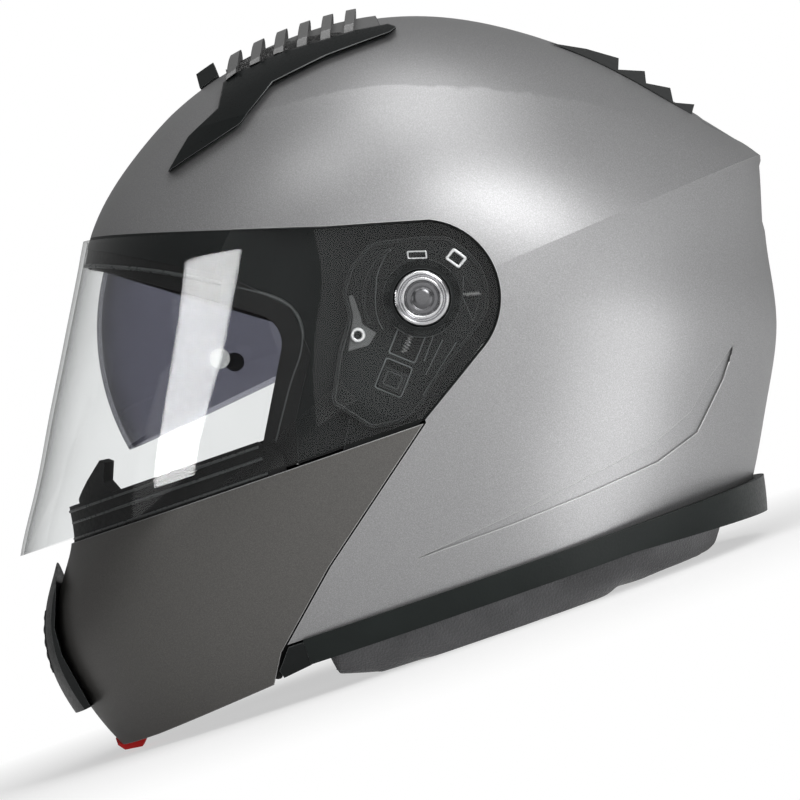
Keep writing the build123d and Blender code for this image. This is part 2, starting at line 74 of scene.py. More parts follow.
# The side profile, degrees up from straight back, as shares of CROWN
SHELL_SHARES = [
    (4.5, 1.20), (18, 1.108), (34, 1.03), (51, 0.988), (67, 0.981), (83, 0.988),
    (100, 1.008), (117, 1.049), (134, 1.096), (151, 1.153), (162, 1.165),
    (173, 1.225), (185, 1.35), (192, 1.41), (196, 1.46), (199.5, 1.575), (204, 1.69),
    (211, 1.776), (218, 1.825), (228, 1.845), (245, 1.82), (270, 1.72), (292, 1.45), (313, 1.282),
    (325, 1.228), (338, 1.216), (351, 1.197), (364.5, 1.196),
]
TRIM_SHARES = SHELL_SHARES[:20] + [(270, 1.76), (292, 1.52), (308, 1.40), (318, 1.25),
                                   (338, 1.216), (351, 1.197), (364.5, 1.196)]
VISOR_SHARES = [(10, 1.18), (40, 1.12), (70, 1.10), (100, 1.12), (125, 1.15)]
VISOR_ANGLES = (148, 156, 164, 172, 180, 188, 195)
VISOR_LOW_SHARES = [(208, 1.84), (225, 1.95), (250, 1.90), (275, 1.72), (300, 1.52),
                    (325, 1.34), (350, 1.22), (370, 1.18)]
SPOILER_SHARES = [(4.5, 0.064), (12, 0.03), (20, 0.0)]
SPOILER_FADE = (0.92, 0.45)
ACROSS_SHARES = [0, 0.22, 0.45, 0.65, 0.8, 0.9, 0.96, 0.988, 1.0]


# Camera: the left side square on, rolled so that the helmet tips nose down

CAMERA_FAR = 2.6
CAMERA_ROLL = math.radians(19.0)
CAMERA_AIM = PIVOT + Vector((0, -0.022, -0.0363))
CAMERA_RANGE = (0.05, 50)
PICTURE_WIDTH = 0.3424
PICTURE_RIGHT = Vector((0, math.cos(CAMERA_ROLL), -math.sin(CAMERA_ROLL)))
PICTURE_UP = Vector((0, math.sin(CAMERA_ROLL), math.cos(CAMERA_ROLL)))
SENSOR = 36.0


def stood(place, right, up, back):
    """Where a thing stands, and which way its own axes point."""
    return Matrix.Translation(place) @ Matrix((right, up, back)).transposed().to_4x4()


def make_camera():
    data = bpy.data.cameras.new("camera")
    data.sensor_width = SENSOR
    data.lens = SENSOR * CAMERA_FAR / PICTURE_WIDTH
    data.clip_start, data.clip_end = CAMERA_RANGE
    data.dof.use_dof = False
    back = Vector((1, 0, 0))
    cam = linked(bpy.data.objects.new("camera", data))
    cam.matrix_world = stood(CAMERA_AIM + back * CAMERA_FAR, PICTURE_RIGHT, PICTURE_UP, back)
    bpy.context.scene.camera = cam


def linked(thing):
    bpy.context.scene.collection.objects.link(thing)
    return thing


# Node trees

NOISE_ROUGHNESS = 0.55
SPREAD_START, SPREAD_END = 0.3, 0.7
BEVEL = 0.0004
BEVEL_SAMPLES, MASK_SAMPLES = 4, 6
MASK_START, MASK_END = 0.90, 0.985


def lighter(colour, by, lift):
    return tuple(min(1, c * by + lift) for c in colour)


class Tree:
    """A node tree being made, with the groups of nodes that most materials share."""

    def __init__(self, owner):
        owner.use_nodes = True
        self.owner, self.nodes, self.links = owner, owner.node_tree.nodes, owner.node_tree.links
        self.nodes.clear()

    def feed(self, entry, value):
        """Links an input to another node's output, or sets it to a value."""
        if isinstance(value, bpy.types.NodeSocket):
            self.links.new(value, entry)
        elif entry.type == "RGBA":
            entry.default_value = (*value, 1)
        else:
            entry.default_value = value

    def add(self, kind, **inputs):
        node = self.nodes.new("ShaderNode" + kind)
        for key, value in inputs.items():
            self.feed(node.inputs[key.replace("_", " ")], value)
        return node

    def place(self):
        return self.add("TexCoord").outputs["Object"]

    def noise(self, scale, detail):
        return self.add("TexNoise", Vector=self.place(), Scale=scale, Detail=detail,
                        Roughness=NOISE_ROUGHNESS).outputs["Fac"]

    def spread(self, source, low, high, start=SPREAD_START, end=SPREAD_END):
        """Spreads a texture's value between two numbers."""
        return self.add("MapRange", Value=source, From_Min=start, From_Max=end,
                        To_Min=low, To_Max=high).outputs["Result"]

    def blend(self, share, first, second):
        """A colour between two, each a socket or a tuple."""
        mix = self.nodes.new("ShaderNodeMix")
        mix.data_type = "RGBA"
        for entry, value in zip((0, 6, 7), (share, first, second)):
            self.feed(mix.inputs[entry], value)
        return mix.outputs[2]

    def drift(self, source, colour, by, lift=0.0, *reach):
        """A colour that drifts with a texture to a lighter one and back."""
        return self.blend(self.spread(source, 0, 1, *reach), colour, lighter(colour, by, lift))

    def principled(self, tone, roughness, **inputs):
        return self.add("BsdfPrincipled", Base_Color=tone, Roughness=roughness,
                        **inputs).outputs["BSDF"]

    def maths(self, operation, first, second=0.0):
        node = self.nodes.new("ShaderNodeMath")
        node.operation = operation
        self.feed(node.inputs[0], first)
        self.feed(node.inputs[1], second)
        return node.outputs[0]

    def axes(self, vector):
        split = self.nodes.new("ShaderNodeSeparateXYZ")
        self.links.new(vector, split.inputs[0])
        return split.outputs

    def mixed(self, share, first, second):
        """One shader laid over another."""
        mix = self.nodes.new("ShaderNodeMixShader")
        for entry, value in enumerate((share, first, second)):
            self.feed(mix.inputs[entry], value)
        return mix.outputs["Shader"]

    def softened_normal(self, radius, samples):
        bevel = self.add("Bevel", Radius=radius)
        bevel.samples = samples
        return bevel.outputs["Normal"]

    def bump(self, height, strength, distance, edge=BEVEL):
        """Surface relief, with the piece's edges softened."""
        inputs = {"Height": height, "Strength": strength, "Distance": distance}
        if edge:
            inputs["Normal"] = self.softened_normal(edge, BEVEL_SAMPLES)
        return self.add("Bump", **inputs).outputs["Normal"]

    def paint_edge_highlight(self, tone, edge, radius):
        """Painted highlight: lightens a colour where the softened normal turns away, along every edge,
        in place of light caught on the edges.
        """
        turn = self.nodes.new("ShaderNodeVectorMath")
        turn.operation = "DOT_PRODUCT"
        self.links.new(self.softened_normal(radius, MASK_SAMPLES), turn.inputs[0])
        self.links.new(self.add("NewGeometry").outputs["Normal"], turn.inputs[1])
        mask = self.spread(turn.outputs["Value"], 1, 0, MASK_START, MASK_END)
        return self.blend(mask, tone, edge)

    def finish(self, shader, kind="Material"):
        out = self.nodes.new("ShaderNodeOutput" + kind)
        self.links.new(shader, out.inputs["Surface"])
        return self.owner


def material(name):
    return Tree(bpy.data.materials.new(name))


# Kinds of material. Scales are cells per metre; a noise has its scale and its detail

FLAKE, PAINT_DRIFT = (2600, 2.0), (9, 3.0)
FLAKE_LIGHT, FLAKE_REACH, FLAKE_BUMP = 1.35, (0.4, 0.66), (0.06, 0.0002)
# PAINT_EDGE and PLASTIC_EDGE are the radii of the painted edge highlights
PAINT_EDGE, PAINT_SPECULAR, PAINT_GLOSS = 0.0007, 0.2, (-0.03, 0.04)
PLASTIC_EDGE, PLASTIC_SPECULAR, PLASTIC_GLOSS = 0.0003, 0.2, (-0.08, 0.1)
PLASTIC_DRIFT, PLASTIC_LIGHT, PLASTIC_LIFT, PLASTIC_RELIEF = (22, 3.0), 1.5, 0.002, 0.0003
FINE_DETAIL = 5.0
SIDEWAYS = 0.8
METAL_GRAIN, METAL_GLOSS, METAL_BUMP = (400, 4.0), (0.7, 1.5), (0.04, 0.0002)
SHEET_DRIFT, SHEET_DARKER, SHEET_STEEPNESS, SHEET_MIRROR, SHEET_GLOSS = (14, 3.0), 0.97, 4, 0.6, 0.02
PIN_GRAIN, PIN_TONES, PIN_BUMP = (900, 3.0), ((0.45, 0.46, 0.46), (0.9, 0.91, 0.91)), (0.5, 0.0008)
PIN_ROUGHNESS, PIN_COVER = 0.2, 0.65
KNIT_DRIFT, KNIT_LIGHT, KNIT_LIFT, KNIT_RELIEF = (30, 4.0), 1.9, 0.01, 0.0006
KNIT_ROUGHNESS, KNIT_SHEEN = 0.9, 0.4
# The shell is black in front of the ears, under a line along the visor's upper edge:
# back, low end, and the line's height and slope, from the pivot axis
BROW_BACK, BROW_LOW, BROW_RISE, BROW_SLOPE = -0.014, -0.046, 0.0310, -0.3277
BROW_GRAIN, BROW_LIGHT, BROW_ROUGHNESS = (700, 4.0), 1.6, 0.4


def brow_mask(tree):
    """1 in the brow band under the visor's upper edge."""
    _, y, z = tree.axes(tree.place())
    y, z = tree.maths("SUBTRACT", y, PIVOT.y), tree.maths("SUBTRACT", z, PIVOT.z)
    line = tree.maths("ADD", tree.maths("MULTIPLY", y, BROW_SLOPE), BROW_RISE)
    mask = tree.maths("LESS_THAN", z, line)
    for test in (tree.maths("LESS_THAN", y, BROW_BACK), tree.maths("GREATER_THAN", z, BROW_LOW)):
        mask = tree.maths("MULTIPLY", mask, test)
    return mask


def paint(name, colour, roughness, metallic, edge=None, brow=None):
    """Satin metallic paint: fine flake, slight orange peel, uneven gloss. A brow colour
    fills the brow band."""
    tree = material(name)
    flake = tree.noise(*FLAKE)
    tone = tree.drift(flake, colour, FLAKE_LIGHT, 0, *FLAKE_REACH)
    # Painted highlight: a lighter colour along the edges
    if edge:
        tone = tree.paint_edge_highlight(tone, edge, PAINT_EDGE)
    gloss = tree.spread(tree.noise(*PAINT_DRIFT), *(roughness + step for step in PAINT_GLOSS))
    shader = tree.principled(tone, gloss, Metallic=metallic, Specular_IOR_Level=PAINT_SPECULAR,
                             Normal=tree.bump(flake, *FLAKE_BUMP))
    if brow:
        tone = tree.drift(tree.noise(*BROW_GRAIN), brow, BROW_LIGHT)
        band = tree.principled(tone, BROW_ROUGHNESS, Specular_IOR_Level=PAINT_SPECULAR)
        shader = tree.mixed(brow_mask(tree), shader, band)
    return tree.finish(shader)


def moulded(name, colour, roughness, grain, strength, edge=None, painted_side_shade=None):
    """Moulded plastic or rubber: fine grain and uneven gloss. A side shade colour, where given, is
    painted shade on the faces that look to the left and right."""
    tree = material(name)
    fine = tree.noise(grain, FINE_DETAIL)
    tone = tree.drift(tree.noise(*PLASTIC_DRIFT), colour, PLASTIC_LIGHT, PLASTIC_LIFT)
    # Painted highlight: a lighter colour along the edges
    if edge:
        tone = tree.paint_edge_highlight(tone, edge, PLASTIC_EDGE)
    # Painted shade: faces that look to the left and right take the darker colour
    if painted_side_shade:
        lean = tree.axes(tree.add("NewGeometry").outputs["True Normal"])[0]
        sideways = tree.maths("GREATER_THAN", tree.maths("ABSOLUTE", lean), SIDEWAYS)
        tone = tree.blend(sideways, tone, painted_side_shade)
    gloss = tree.spread(fine, *(roughness + step for step in PLASTIC_GLOSS))
    return tree.finish(tree.principled(tone, gloss, Specular_IOR_Level=PLASTIC_SPECULAR,
                                       Normal=tree.bump(fine, strength, PLASTIC_RELIEF)))


def metal(name, colour, roughness):
    tree = material(name)
    fine = tree.noise(*METAL_GRAIN)
    gloss = tree.spread(fine, *(roughness * share for share in METAL_GLOSS))
    return tree.finish(tree.principled(colour, gloss, Metallic=1.0,
                                       Normal=tree.bump(fine, *METAL_BUMP)))


def sheer(name, tint, clear):
    """Thin polished sheet: tinted see-through with mirror reflections."""
    tree = material(name)
    tone = tree.drift(tree.noise(*SHEET_DRIFT), tint, SHEET_DARKER)
    through = tree.add("BsdfTransparent", Color=tone)
    shine = tree.add("BsdfGlossy", Roughness=SHEET_GLOSS)
    facing = tree.add("LayerWeight", Blend=0.5).outputs["Facing"]
    steep = tree.maths("POWER", facing, SHEET_STEEPNESS)
    mirror = tree.spread(steep, clear, SHEET_MIRROR, 0, 1)
    return tree.finish(tree.mixed(mirror, through.outputs["BSDF"], shine.outputs["BSDF"]))


def pale_pin(name):
    """Milky clear plastic."""
    tree = material(name)
    cloud = tree.noise(*PIN_GRAIN)
    body = tree.principled(tree.blend(tree.spread(cloud, 0, 1), *PIN_TONES), PIN_ROUGHNESS,
                           Normal=tree.bump(cloud, *PIN_BUMP))
    clear = tree.add("BsdfTransparent")
    return tree.finish(tree.mixed(PIN_COVER, clear.outputs["BSDF"], body))


def fabric(name, colour, weave, strength):
    """Brushed knit: woven cells, sheen and soft tonal drift."""
    tree = material(name)
    cells = tree.add("TexVoronoi", Vector=tree.place(), Scale=weave)
    tone = tree.drift(tree.noise(*KNIT_DRIFT), colour, KNIT_LIGHT, KNIT_LIFT)
    relief = tree.bump(cells.outputs["Distance"], strength, KNIT_RELIEF, 0)
    return tree.finish(tree.principled(tone, KNIT_ROUGHNESS, Sheen_Weight=KNIT_SHEEN,
                                       Normal=relief))


def make_materials():
    # Lighter edge colours: painted highlights along the edges of the paint, the black plastic and the
    # shim
    edge_highlight, black_edge_highlight = (0.5, 0.5, 0.5), (0.17, 0.18, 0.18)
    return {
        "shell": paint("shell_paint", (0.25, 0.25, 0.253), 0.40, 0.6, edge_highlight, (0.006, 0.007, 0.007)),
        "chin": paint("chin_paint", (0.100, 0.097, 0.093), 0.40, 0.6, edge_highlight),
        "grille": paint("grille_plastic", (0.19, 0.19, 0.19), 0.42, 0.6),
        "trim": moulded("trim_plastic", (0.005, 0.007, 0.0065), 0.36, 900, 0.25),
        "black": moulded("black_plastic", (0.004, 0.005, 0.005), 0.34, 700, 0.12, black_edge_highlight),
        # Lighter grey for raised lines and slot lips: real parts, their lighter colour a painted
        # highlight
        "highlight_grey": moulded("highlight_grey", (0.11, 0.12, 0.12), 0.3, 700, 0.1),
        "rubber": moulded("rubber", (0.007, 0.007, 0.007), 0.6, 500, 0.3),
        # The rear vent's steps get painted shade on their faces that look to the left and right
        "stepped": moulded("rear_vent_plastic", (0.12, 0.12, 0.12), 0.42, 600, 0.15,
                           painted_side_shade=(0.022, 0.023, 0.023)),
        "foam": moulded("foam", (0.02, 0.02, 0.02), 0.85, 260, 0.9),
        # Lighter rubber for the gasket lip and the sill lines: real beads, their lighter grey partly a
        # painted highlight
        "lip": moulded("highlight_lip_rubber", (0.05, 0.053, 0.053), 0.3, 500, 0.1),
        "shim": moulded("shim_grey", (0.085, 0.087, 0.087), 0.4, 600, 0.1, (0.2, 0.2, 0.2)),
        "red": moulded("red_plastic", (0.45, 0.012, 0.012), 0.35, 600, 0.1),
        "roll": fabric("roll_fabric", (0.045, 0.045, 0.047), 1100, 0.5),
        "lining": fabric("lining", (0.018, 0.018, 0.02), 1500, 0.5),
        "webbing": fabric("webbing", (0.012, 0.012, 0.012), 900, 0.8),
        "chrome": metal("chrome", (0.55, 0.55, 0.56), 0.12),
        "dark_chrome": metal("dark_chrome", (0.13, 0.13, 0.135), 0.2),
        "steel": metal("steel", (0.80, 0.80, 0.80), 0.28),
        "spring": metal("spring", (0.42, 0.42, 0.42), 0.3),
        "clear": sheer("clear_sheet", (0.965, 0.97, 0.97), 0.012),
        "smoke": sheer("smoke_sheet", (0.60, 0.60, 0.64), 0.02),
        "pin": pale_pin("pin_plastic"),
    }


# Which material each slot of the frame gets, and the nodes that differ from their slot
SLOT_MATERIAL = {
    "shell_paint": "shell", "chin_paint": "chin", "clear": "clear", "smoke": "smoke",
    "foam": "foam", "lining": "lining", "webbing": "webbing", "black_plastic": "black",
    "rubber_black": "rubber", "chrome_ring": "chrome", "steel": "steel",
    "red_plastic": "red", "grille_grey": "grille",
}
NODE_MATERIAL = {"insert_pin_left": "pin", "insert_pin_right": "pin", "rear_vent": "stepped"}


def body_of(node):
    for body, members in frame["record"]["behaviour"]["bodies"].items():
        if node in members:
            return body


def slot_of(node):
    for entry in frame["record"]["subparts"]:
        if entry["node"] == node:
            return entry["material_slot"]


def dress(piece, *materials):
    piece.data.materials.clear()
    for entry in materials:
        piece.data.materials.append(entry)


def dress_nodes(mats):
    for name, node in frame["nodes"].items():
        dress(node, mats[NODE_MATERIAL.get(name) or SLOT_MATERIAL[slot_of(name)]])


# Smooth forms, in the frame's own axes

# Crease along the upper side: back and up from the pivot axis, in metres
CREASE_LINE = [(-0.0750, 0.0985), (-0.0552, 0.0973), (-0.024, 0.0945), (0.0079, 0.0901),
               (0.0338, 0.0811), (0.0655, 0.068), (0.0903, 0.0558), (0.1165, 0.0386)]
CREASE_DEEP, CREASE_WIDE, CREASE_FADE = 0.0010, 0.012, 0.03
# The visor's profile is averaged over this many degrees each way for its reflections
EVEN_WIDTH, EVEN_STEP, EVEN_SAMPLES = 20, 6, 41
TINY = 1e-12


class Curve:
    """Natural cubic spline through given shares."""

    def __init__(self, table):
        self.at = np.array([a for a, _ in table], float)
        self.value = np.array([v for _, v in table], float)
        gap = np.diff(self.at)
        count = len(self.at)
        left = np.eye(count)
        right = np.zeros(count)
        for i in range(1, count - 1):
            left[i, i - 1:i + 2] = gap[i - 1], 2 * (gap[i - 1] + gap[i]), gap[i]
            right[i] = 6 * ((self.value[i + 1] - self.value[i]) / gap[i]
                            - (self.value[i] - self.value[i - 1]) / gap[i - 1])
        self.bend = np.linalg.solve(left, right)

    def __call__(self, x):
        x = np.clip(x, self.at[0], self.at[-1])
        i = np.clip(np.searchsorted(self.at, x) - 1, 0, len(self.at) - 2)
        gap = self.at[i + 1] - self.at[i]
        a = (self.at[i + 1] - x) / gap
        b = 1 - a
        return (a * self.value[i] + b * self.value[i + 1]
                + ((a ** 3 - a) * self.bend[i] + (b ** 3 - b) * self.bend[i + 1]) * gap ** 2 / 6)


def visor_table():
    table = list(VISOR_SHARES)
    for angle in VISOR_ANGLES:
        away = VISOR_LINE / math.cos(math.radians(angle - VISOR_LEAN))
        table.append((angle, away / CROWN))
    return table + VISOR_LOW_SHARES


def even_table(table):
    """The same profile with its bends averaged out, for even reflections."""
    curve = Curve(table)
    spread = np.linspace(-EVEN_WIDTH, EVEN_WIDTH, EVEN_SAMPLES)
    first, last = table[0][0], table[-1][0]
    return [(a, float(np.mean(curve(np.clip(a + spread, first, last)))))
            for a in range(first, last + 1, EVEN_STEP)]


def crease_depth(y, z):
    """How far the shell is lowered beside its upper crease, which itself stays."""
    off = (z - Curve(CREASE_LINE)(y)) / CREASE_WIDE
    valley = np.abs(off) * np.exp(1 - np.abs(off))
    start, end = CREASE_LINE[0][0], CREASE_LINE[-1][0]
    fade = np.clip((y - start) / CREASE_FADE, 0, 1) * np.clip((end - y) / CREASE_FADE, 0, 1)
    return CREASE_DEEP * valley * fade


class Skin:
    """The helmet's superellipse form about the pivot axis, drawn in by an inset."""

    def __init__(self, inset=0.0, table=SHELL_SHARES, half_width=HALF_WIDTH, spoiler=True):
        self.inset, self.half_width = inset, half_width
        self.start = table[0][0]
        if spoiler:
            table = table[:-1] + [(table[-1][0], table[0][1])]
        self.radius = Curve(table)
        last = SPOILER_SHARES[-1][0]
        lift = [(a, np.interp(a, *zip(*SPOILER_SHARES)) if a < last else 0) for a, _ in table]
        lift[-1] = (table[-1][0], lift[0][1])
        self.lift = Curve(lift) if spoiler else None
        full, fading = SPOILER_FADE
        self.fade = Curve([(s, min(1, max(0, (full - s) / fading))) for s in ACROSS_SHARES])

    def value(self, p):
        """Below zero inside the form, zero on it."""
        x, y, z = p[:, 0], p[:, 1] - PIVOT.y, p[:, 2] - PIVOT.z
        across = np.abs(x) / (self.half_width - self.inset)
        angle = (np.degrees(np.arctan2(z, y)) - self.start) % 360 + self.start
        reach = CROWN * self.radius(angle) - self.inset
        if self.lift:
            reach = reach + CROWN * self.lift(angle) * self.fade(across) - crease_depth(y, z)
        return across ** SIDE_FULLNESS + (np.hypot(y, z) / reach) ** PROFILE_FULLNESS - 1


class Barrel:
    """The sun visor's surface of revolution about its own pivot axis."""

    def __init__(self, inset=0.0):
        self.radius, self.half_width = SUN_RADIUS - inset, SUN_HALF_WIDTH - inset

    def value(self, p):
        y, z = p[:, 1] - PIVOT.y - SUN_BACK, p[:, 2] - PIVOT.z - SUN_UP
        return ((np.abs(p[:, 0]) / self.half_width) ** SUN_FULLNESS
                + (np.hypot(y, z) / self.radius) ** SUN_FULLNESS - 1)


def unit(vectors):
    return vectors / (np.linalg.norm(vectors, axis=-1, keepdims=True) + TINY)


def gradient(form, p, step=1e-5):
    out = np.empty_like(p)
    for axis in range(3):
        shift = np.zeros(3)
        shift[axis] = step
        out[:, axis] = (form.value(p + shift) - form.value(p - shift)) / (2 * step)
    return out


def distance(form, p):
    return form.value(p) / (np.linalg.norm(gradient(form, p), axis=1) + TINY)


# Fine copies of CAD nodes

FACE_LIMIT = 150000
WELD_DIGITS = 7
# A face lies on a form when its corners are this near and it faces nearly the same way
FORM_NEAR, FORM_FACING = 0.0012, 0.8
# Its corners are then moved onto the form, in so many steps of at most this length
FORM_STEPS, FORM_STEP = 3, 0.002
# Its normals are read a little inside each face, and used where they agree with it
SHADE_INWARD, SHADE_AGREE = 0.04, 0.6
# Faces deeper than this aren't painted
PAINT_DEPTH = 0.0022


def face_normals(corner):
    return unit(np.cross(corner[:, 1] - corner[:, 0], corner[:, 2] - corner[:, 0]))


def welded(mesh):
    """A mesh's points, those in one place made one, and its triangles."""
    mesh.calc_loop_triangles()
    points = np.array([v.co for v in mesh.vertices], float)
    faces = np.array([t.vertices for t in mesh.loop_triangles], int)
    points, back = np.unique(np.round(points, WELD_DIGITS), axis=0, return_inverse=True)
    faces = back.ravel()[faces]
    return points, np.array([f for f in faces if len(set(f)) == 3], int)


def form_labels(points, faces, forms):
    """Which form each triangle lies on, the nearest one of several, or -1 for none."""
    label, best = np.full(len(faces), -1), np.full(len(faces), FORM_NEAR)
    corner = points[faces]
    normal, middle = face_normals(corner), corner.mean(axis=1)
    for number, form in enumerate(forms):
        away = np.abs(distance(form, points))[faces].max(axis=1)
        facing = np.abs((unit(gradient(form, middle)) * normal).sum(axis=1))
        good = (away < best) & (facing > FORM_FACING)
        label[good] = number
        best[good] = away[good]
    return label


def quartered(points, faces):
    """Each triangle cut into four at the middles of its sides."""
    edges = np.sort(faces[:, [[0, 1], [1, 2], [2, 0]]].reshape(-1, 2), axis=1)
    pairs, index = np.unique(edges, axis=0, return_inverse=True)
    middle = points[pairs].mean(axis=1)
    index = index.reshape(-1, 3) + len(points)
    a, b, c = faces.T
    ab, bc, ca = index.T
    parts = ((a, ab, ca), (ab, b, bc), (ca, bc, c), (ab, bc, ca))
    return np.vstack([points, middle]), np.vstack([np.stack(part, axis=1) for part in parts])


def drawn_onto(form, p):
    """Points moved onto a form in a few short steps."""
    for _ in range(FORM_STEPS):
        slope = gradient(form, p)
        size = (slope ** 2).sum(axis=1)[:, None] + TINY
        p = p - np.clip(form.value(p)[:, None] * slope / size, -FORM_STEP, FORM_STEP)
    return p


def form_normals(form, corner, flat):
    """Normals of the form at each corner, or the flat ones where the two disagree."""
    inward = corner + (corner.mean(axis=1)[:, None, :] - corner) * SHADE_INWARD
    slope = unit(gradient(form, inward.reshape(-1, 3)).reshape(-1, 3, 3))
    agree = (slope * flat).sum(axis=2)
    slope *= np.sign(agree)[:, :, None]
    close = (np.abs(agree).min(axis=1) > SHADE_AGREE)[:, None, None]
    return np.where(close, slope, flat)


def refined(node, forms, shades):
    """A fine copy of a CAD node whose faces lie exactly on smooth forms, and 1 for each
    face that lies deeper than the first form."""
    points, faces = welded(frame["nodes"][node].data)
    label = form_labels(points, faces, forms)
    while len(faces) * 4 <= FACE_LIMIT:
        points, faces = quartered(points, faces)
        label = np.tile(label, 4)
    normals = np.repeat(face_normals(points[faces])[:, None, :], 3, axis=1)
    for number, (form, shade) in enumerate(zip(forms, shades)):
        mine = label == number
        if mine.any():
            used = np.unique(faces[mine])
            points[used] = drawn_onto(form, points[used])
            normals[mine] = form_normals(shade, points[faces[mine]], normals[mine])
    mesh = new_mesh(node + "_fine", points.tolist(), faces.tolist())
    mesh.polygons.foreach_set("use_smooth", np.ones(len(faces), bool))
    mesh.normals_split_custom_set(normals.reshape(-1, 3).tolist())
    depth = distance(forms[0], points[faces].mean(axis=1))
    piece = linked(bpy.data.objects.new(node + "_fine", mesh))
    return piece, (np.abs(depth) > PAINT_DEPTH).astype(np.int32)


def new_mesh(name, points, faces):
    mesh = bpy.data.meshes.new(name)
    mesh.from_pydata(points, [], faces)
    return mesh


def take_place(piece, node):
    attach(piece, body_of(node))
    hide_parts(node)


def smooth_piece(node, material, forms, rest=None, shades=None):
    """Fine copy in place of a node: one material outside, another elsewhere."""
    piece, elsewhere = refined(node, forms, shades or forms)
    dress(piece, material, rest or material)
    piece.data.polygons.foreach_set("material_index", elsewhere)
    take_place(piece, node)
    return piece


def visor_skins(table):
    return [Skin(inset, table, VISOR_HALF_WIDTH, False) for inset in (0, VISOR_WALL)]


def make_skins(mats):
    """The pieces that follow smooth forms; gives back the clear visor."""
    visor = visor_table()
    outer = Skin()
    smooth_piece("outer_shell", mats["shell"], [outer, Skin(GROOVE_DEEP), Skin(SHELL_WALL)],
                 mats["black"])
    smooth_piece("chin_bar_shell", mats["chin"], [outer, Skin(BAR_WALL)], mats["black"])
    clear = smooth_piece("visor", mats["clear"], visor_skins(visor),
                         shades=visor_skins(even_table(visor)))
    smooth_piece("sun_visor", mats["smoke"], [Barrel(), Barrel(SUN_WALL)])
    smooth_piece("rim_trim", mats["trim"], [Skin(-TRIM_PROUD, TRIM_SHARES), Skin(TRIM_DEPTH)])
    for _, word in SIDES:
        smooth_piece("top_vent_arm_" + word, mats["black"], [Skin(-VENT_PROUD), outer])
    smooth_piece("top_vent_grille", mats["grille"], [Skin(-RIB_PROUD), Skin(-GRILLE_PROUD), outer])
    smooth_piece("chin_vent_frame", mats["black"], [Skin(-CHIN_VENT_PROUD), outer])
    return clear


# Made pieces: drawn wires and turned metal

def add_piece(name, mesh, body, materials, stands_for=(), sharp=30):
    mesh.polygons.foreach_set("use_smooth", np.ones(len(mesh.polygons), bool))
    mesh.set_sharp_from_angle(angle=math.radians(sharp))
    mesh.update()
    piece = linked(bpy.data.objects.new(name, mesh))
    kept = np.zeros(len(mesh.polygons), np.int32)
    mesh.polygons.foreach_get("material_index", kept)
    dress(piece, *materials)
    mesh.polygons.foreach_set("material_index", kept)
    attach(piece, body)
    if stands_for:
        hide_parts(*stands_for)


def ring_faces(rings, count, around=True, over=False):
    """Faces between rings of points: all round each ring, and from the last ring over
    to the first, where asked."""
    faces = []
    for start in range(0, (rings if over else rings - 1) * count, count):
        for k in range(count if around else count - 1):
            a, b = start + k, start + (k + 1) % count
            faces.append((a, b, (b + count) % (rings * count), (a + count) % (rings * count)))
    return faces


def ring_ends(rings, count):
    """Faces over the first and the last ring."""
    return [tuple(range(count))[::-1], tuple(range((rings - 1) * count, rings * count))]


def tube(name, path, radius, sides):
    """Round wire along a list of points, in metres."""
    path = [Vector(p) for p in path]
    points, normal = [], None
    for behind, p, ahead in zip([path[0]] + path, path, path[1:] + [path[-1]]):
        along = (ahead - behind).normalized()
        if normal is None:
            normal = along.orthogonal().normalized()
        normal = (normal - along * normal.dot(along)).normalized()
        side = along.cross(normal)
        for k in range(sides):
            turn = 2 * math.pi * k / sides
            points.append(tuple(p + radius * (math.cos(turn) * normal + math.sin(turn) * side)))
    return new_mesh(name, points, ring_faces(len(path), sides) + ring_ends(len(path), sides))


def from_pivot(side, x, y, z):
    """A point on one side of the helmet, in millimetres out, back and up from the pivot."""
    return side * x * MM, PIVOT.y + y * MM, PIVOT.z + z * MM


def shares(points):
    """Shares of CROWN as millimetres."""
    return [(y * CROWN / MM, z * CROWN / MM) for y, z in points]


def turned(name, profile, centre, side, steps, second):
    """Mesh of revolution about the X direction; `second` gives the profile step where
    the second material begins. Profile entries are (x, radius) in millimetres."""
    points = []
    for x, radius in profile:
        for k in range(steps):
            turn = 2 * math.pi * k / steps
            points.append(from_pivot(side, x, centre[0] + radius * math.cos(turn),
                                     centre[1] + radius * math.sin(turn)))
    mesh = new_mesh(name, points, [f[::side] for f in ring_faces(len(profile), steps)])
    row = np.arange(len(mesh.polygons)) // steps
    mesh.polygons.foreach_set("material_index", (row >= second).astype(np.int32))
    return mesh


# Beads and the vent's plate, laid on the smooth forms. Lines are back and up from the
# pivot axis in shares of CROWN

# The gasket lip's bead is lighter rubber, partly a painted highlight along the eye port's gasket
LIP_LINE = [(-1.038, 0.488), (-0.90, 0.425), (-0.759, 0.354), (-0.598, 0.257), (-0.50, 0.195),
            (-0.430, 0.14), (-0.402, 0.085), (-0.405, 0.02), (-0.435, -0.045), (-0.49, -0.11),
            (-0.55, -0.20), (-0.606, -0.287)]
SEAL_LINE = [(-0.50, -0.672), (-0.576, -0.732), (-0.70, -0.845), (-0.816, -0.949), (-0.86, -1.02)]
# Beads: name, line, depth under the shell's surface, furthest out, radius, sides, material
BEADS = [("gasket_lip", LIP_LINE, 0.0003, 0.1087, 0.0009, 8, "lip"),
         ("seam_seal", SEAL_LINE, 0.0072, HALF_WIDTH, 0.0026, 12, "rubber")]
# Lines moulded round the rubber above the chin bar's edge, in the lighter lip rubber, which is partly a
# painted highlight: heights, and where they end
SILL_LINES, SILL_BACK, SILL_RADIUS, SILL_SIDES = (-0.377, -0.325, -0.285), -0.64, 0.0006, 8
SILL_DEPTH, SILL_SPAN, SILL_STEPS = BAR_WALL / 2, 89, 120
BEAD_SHARP = 60
# How far a form's surface is looked for, and in how many halvings
REACH, HALVINGS = 0.2, 40
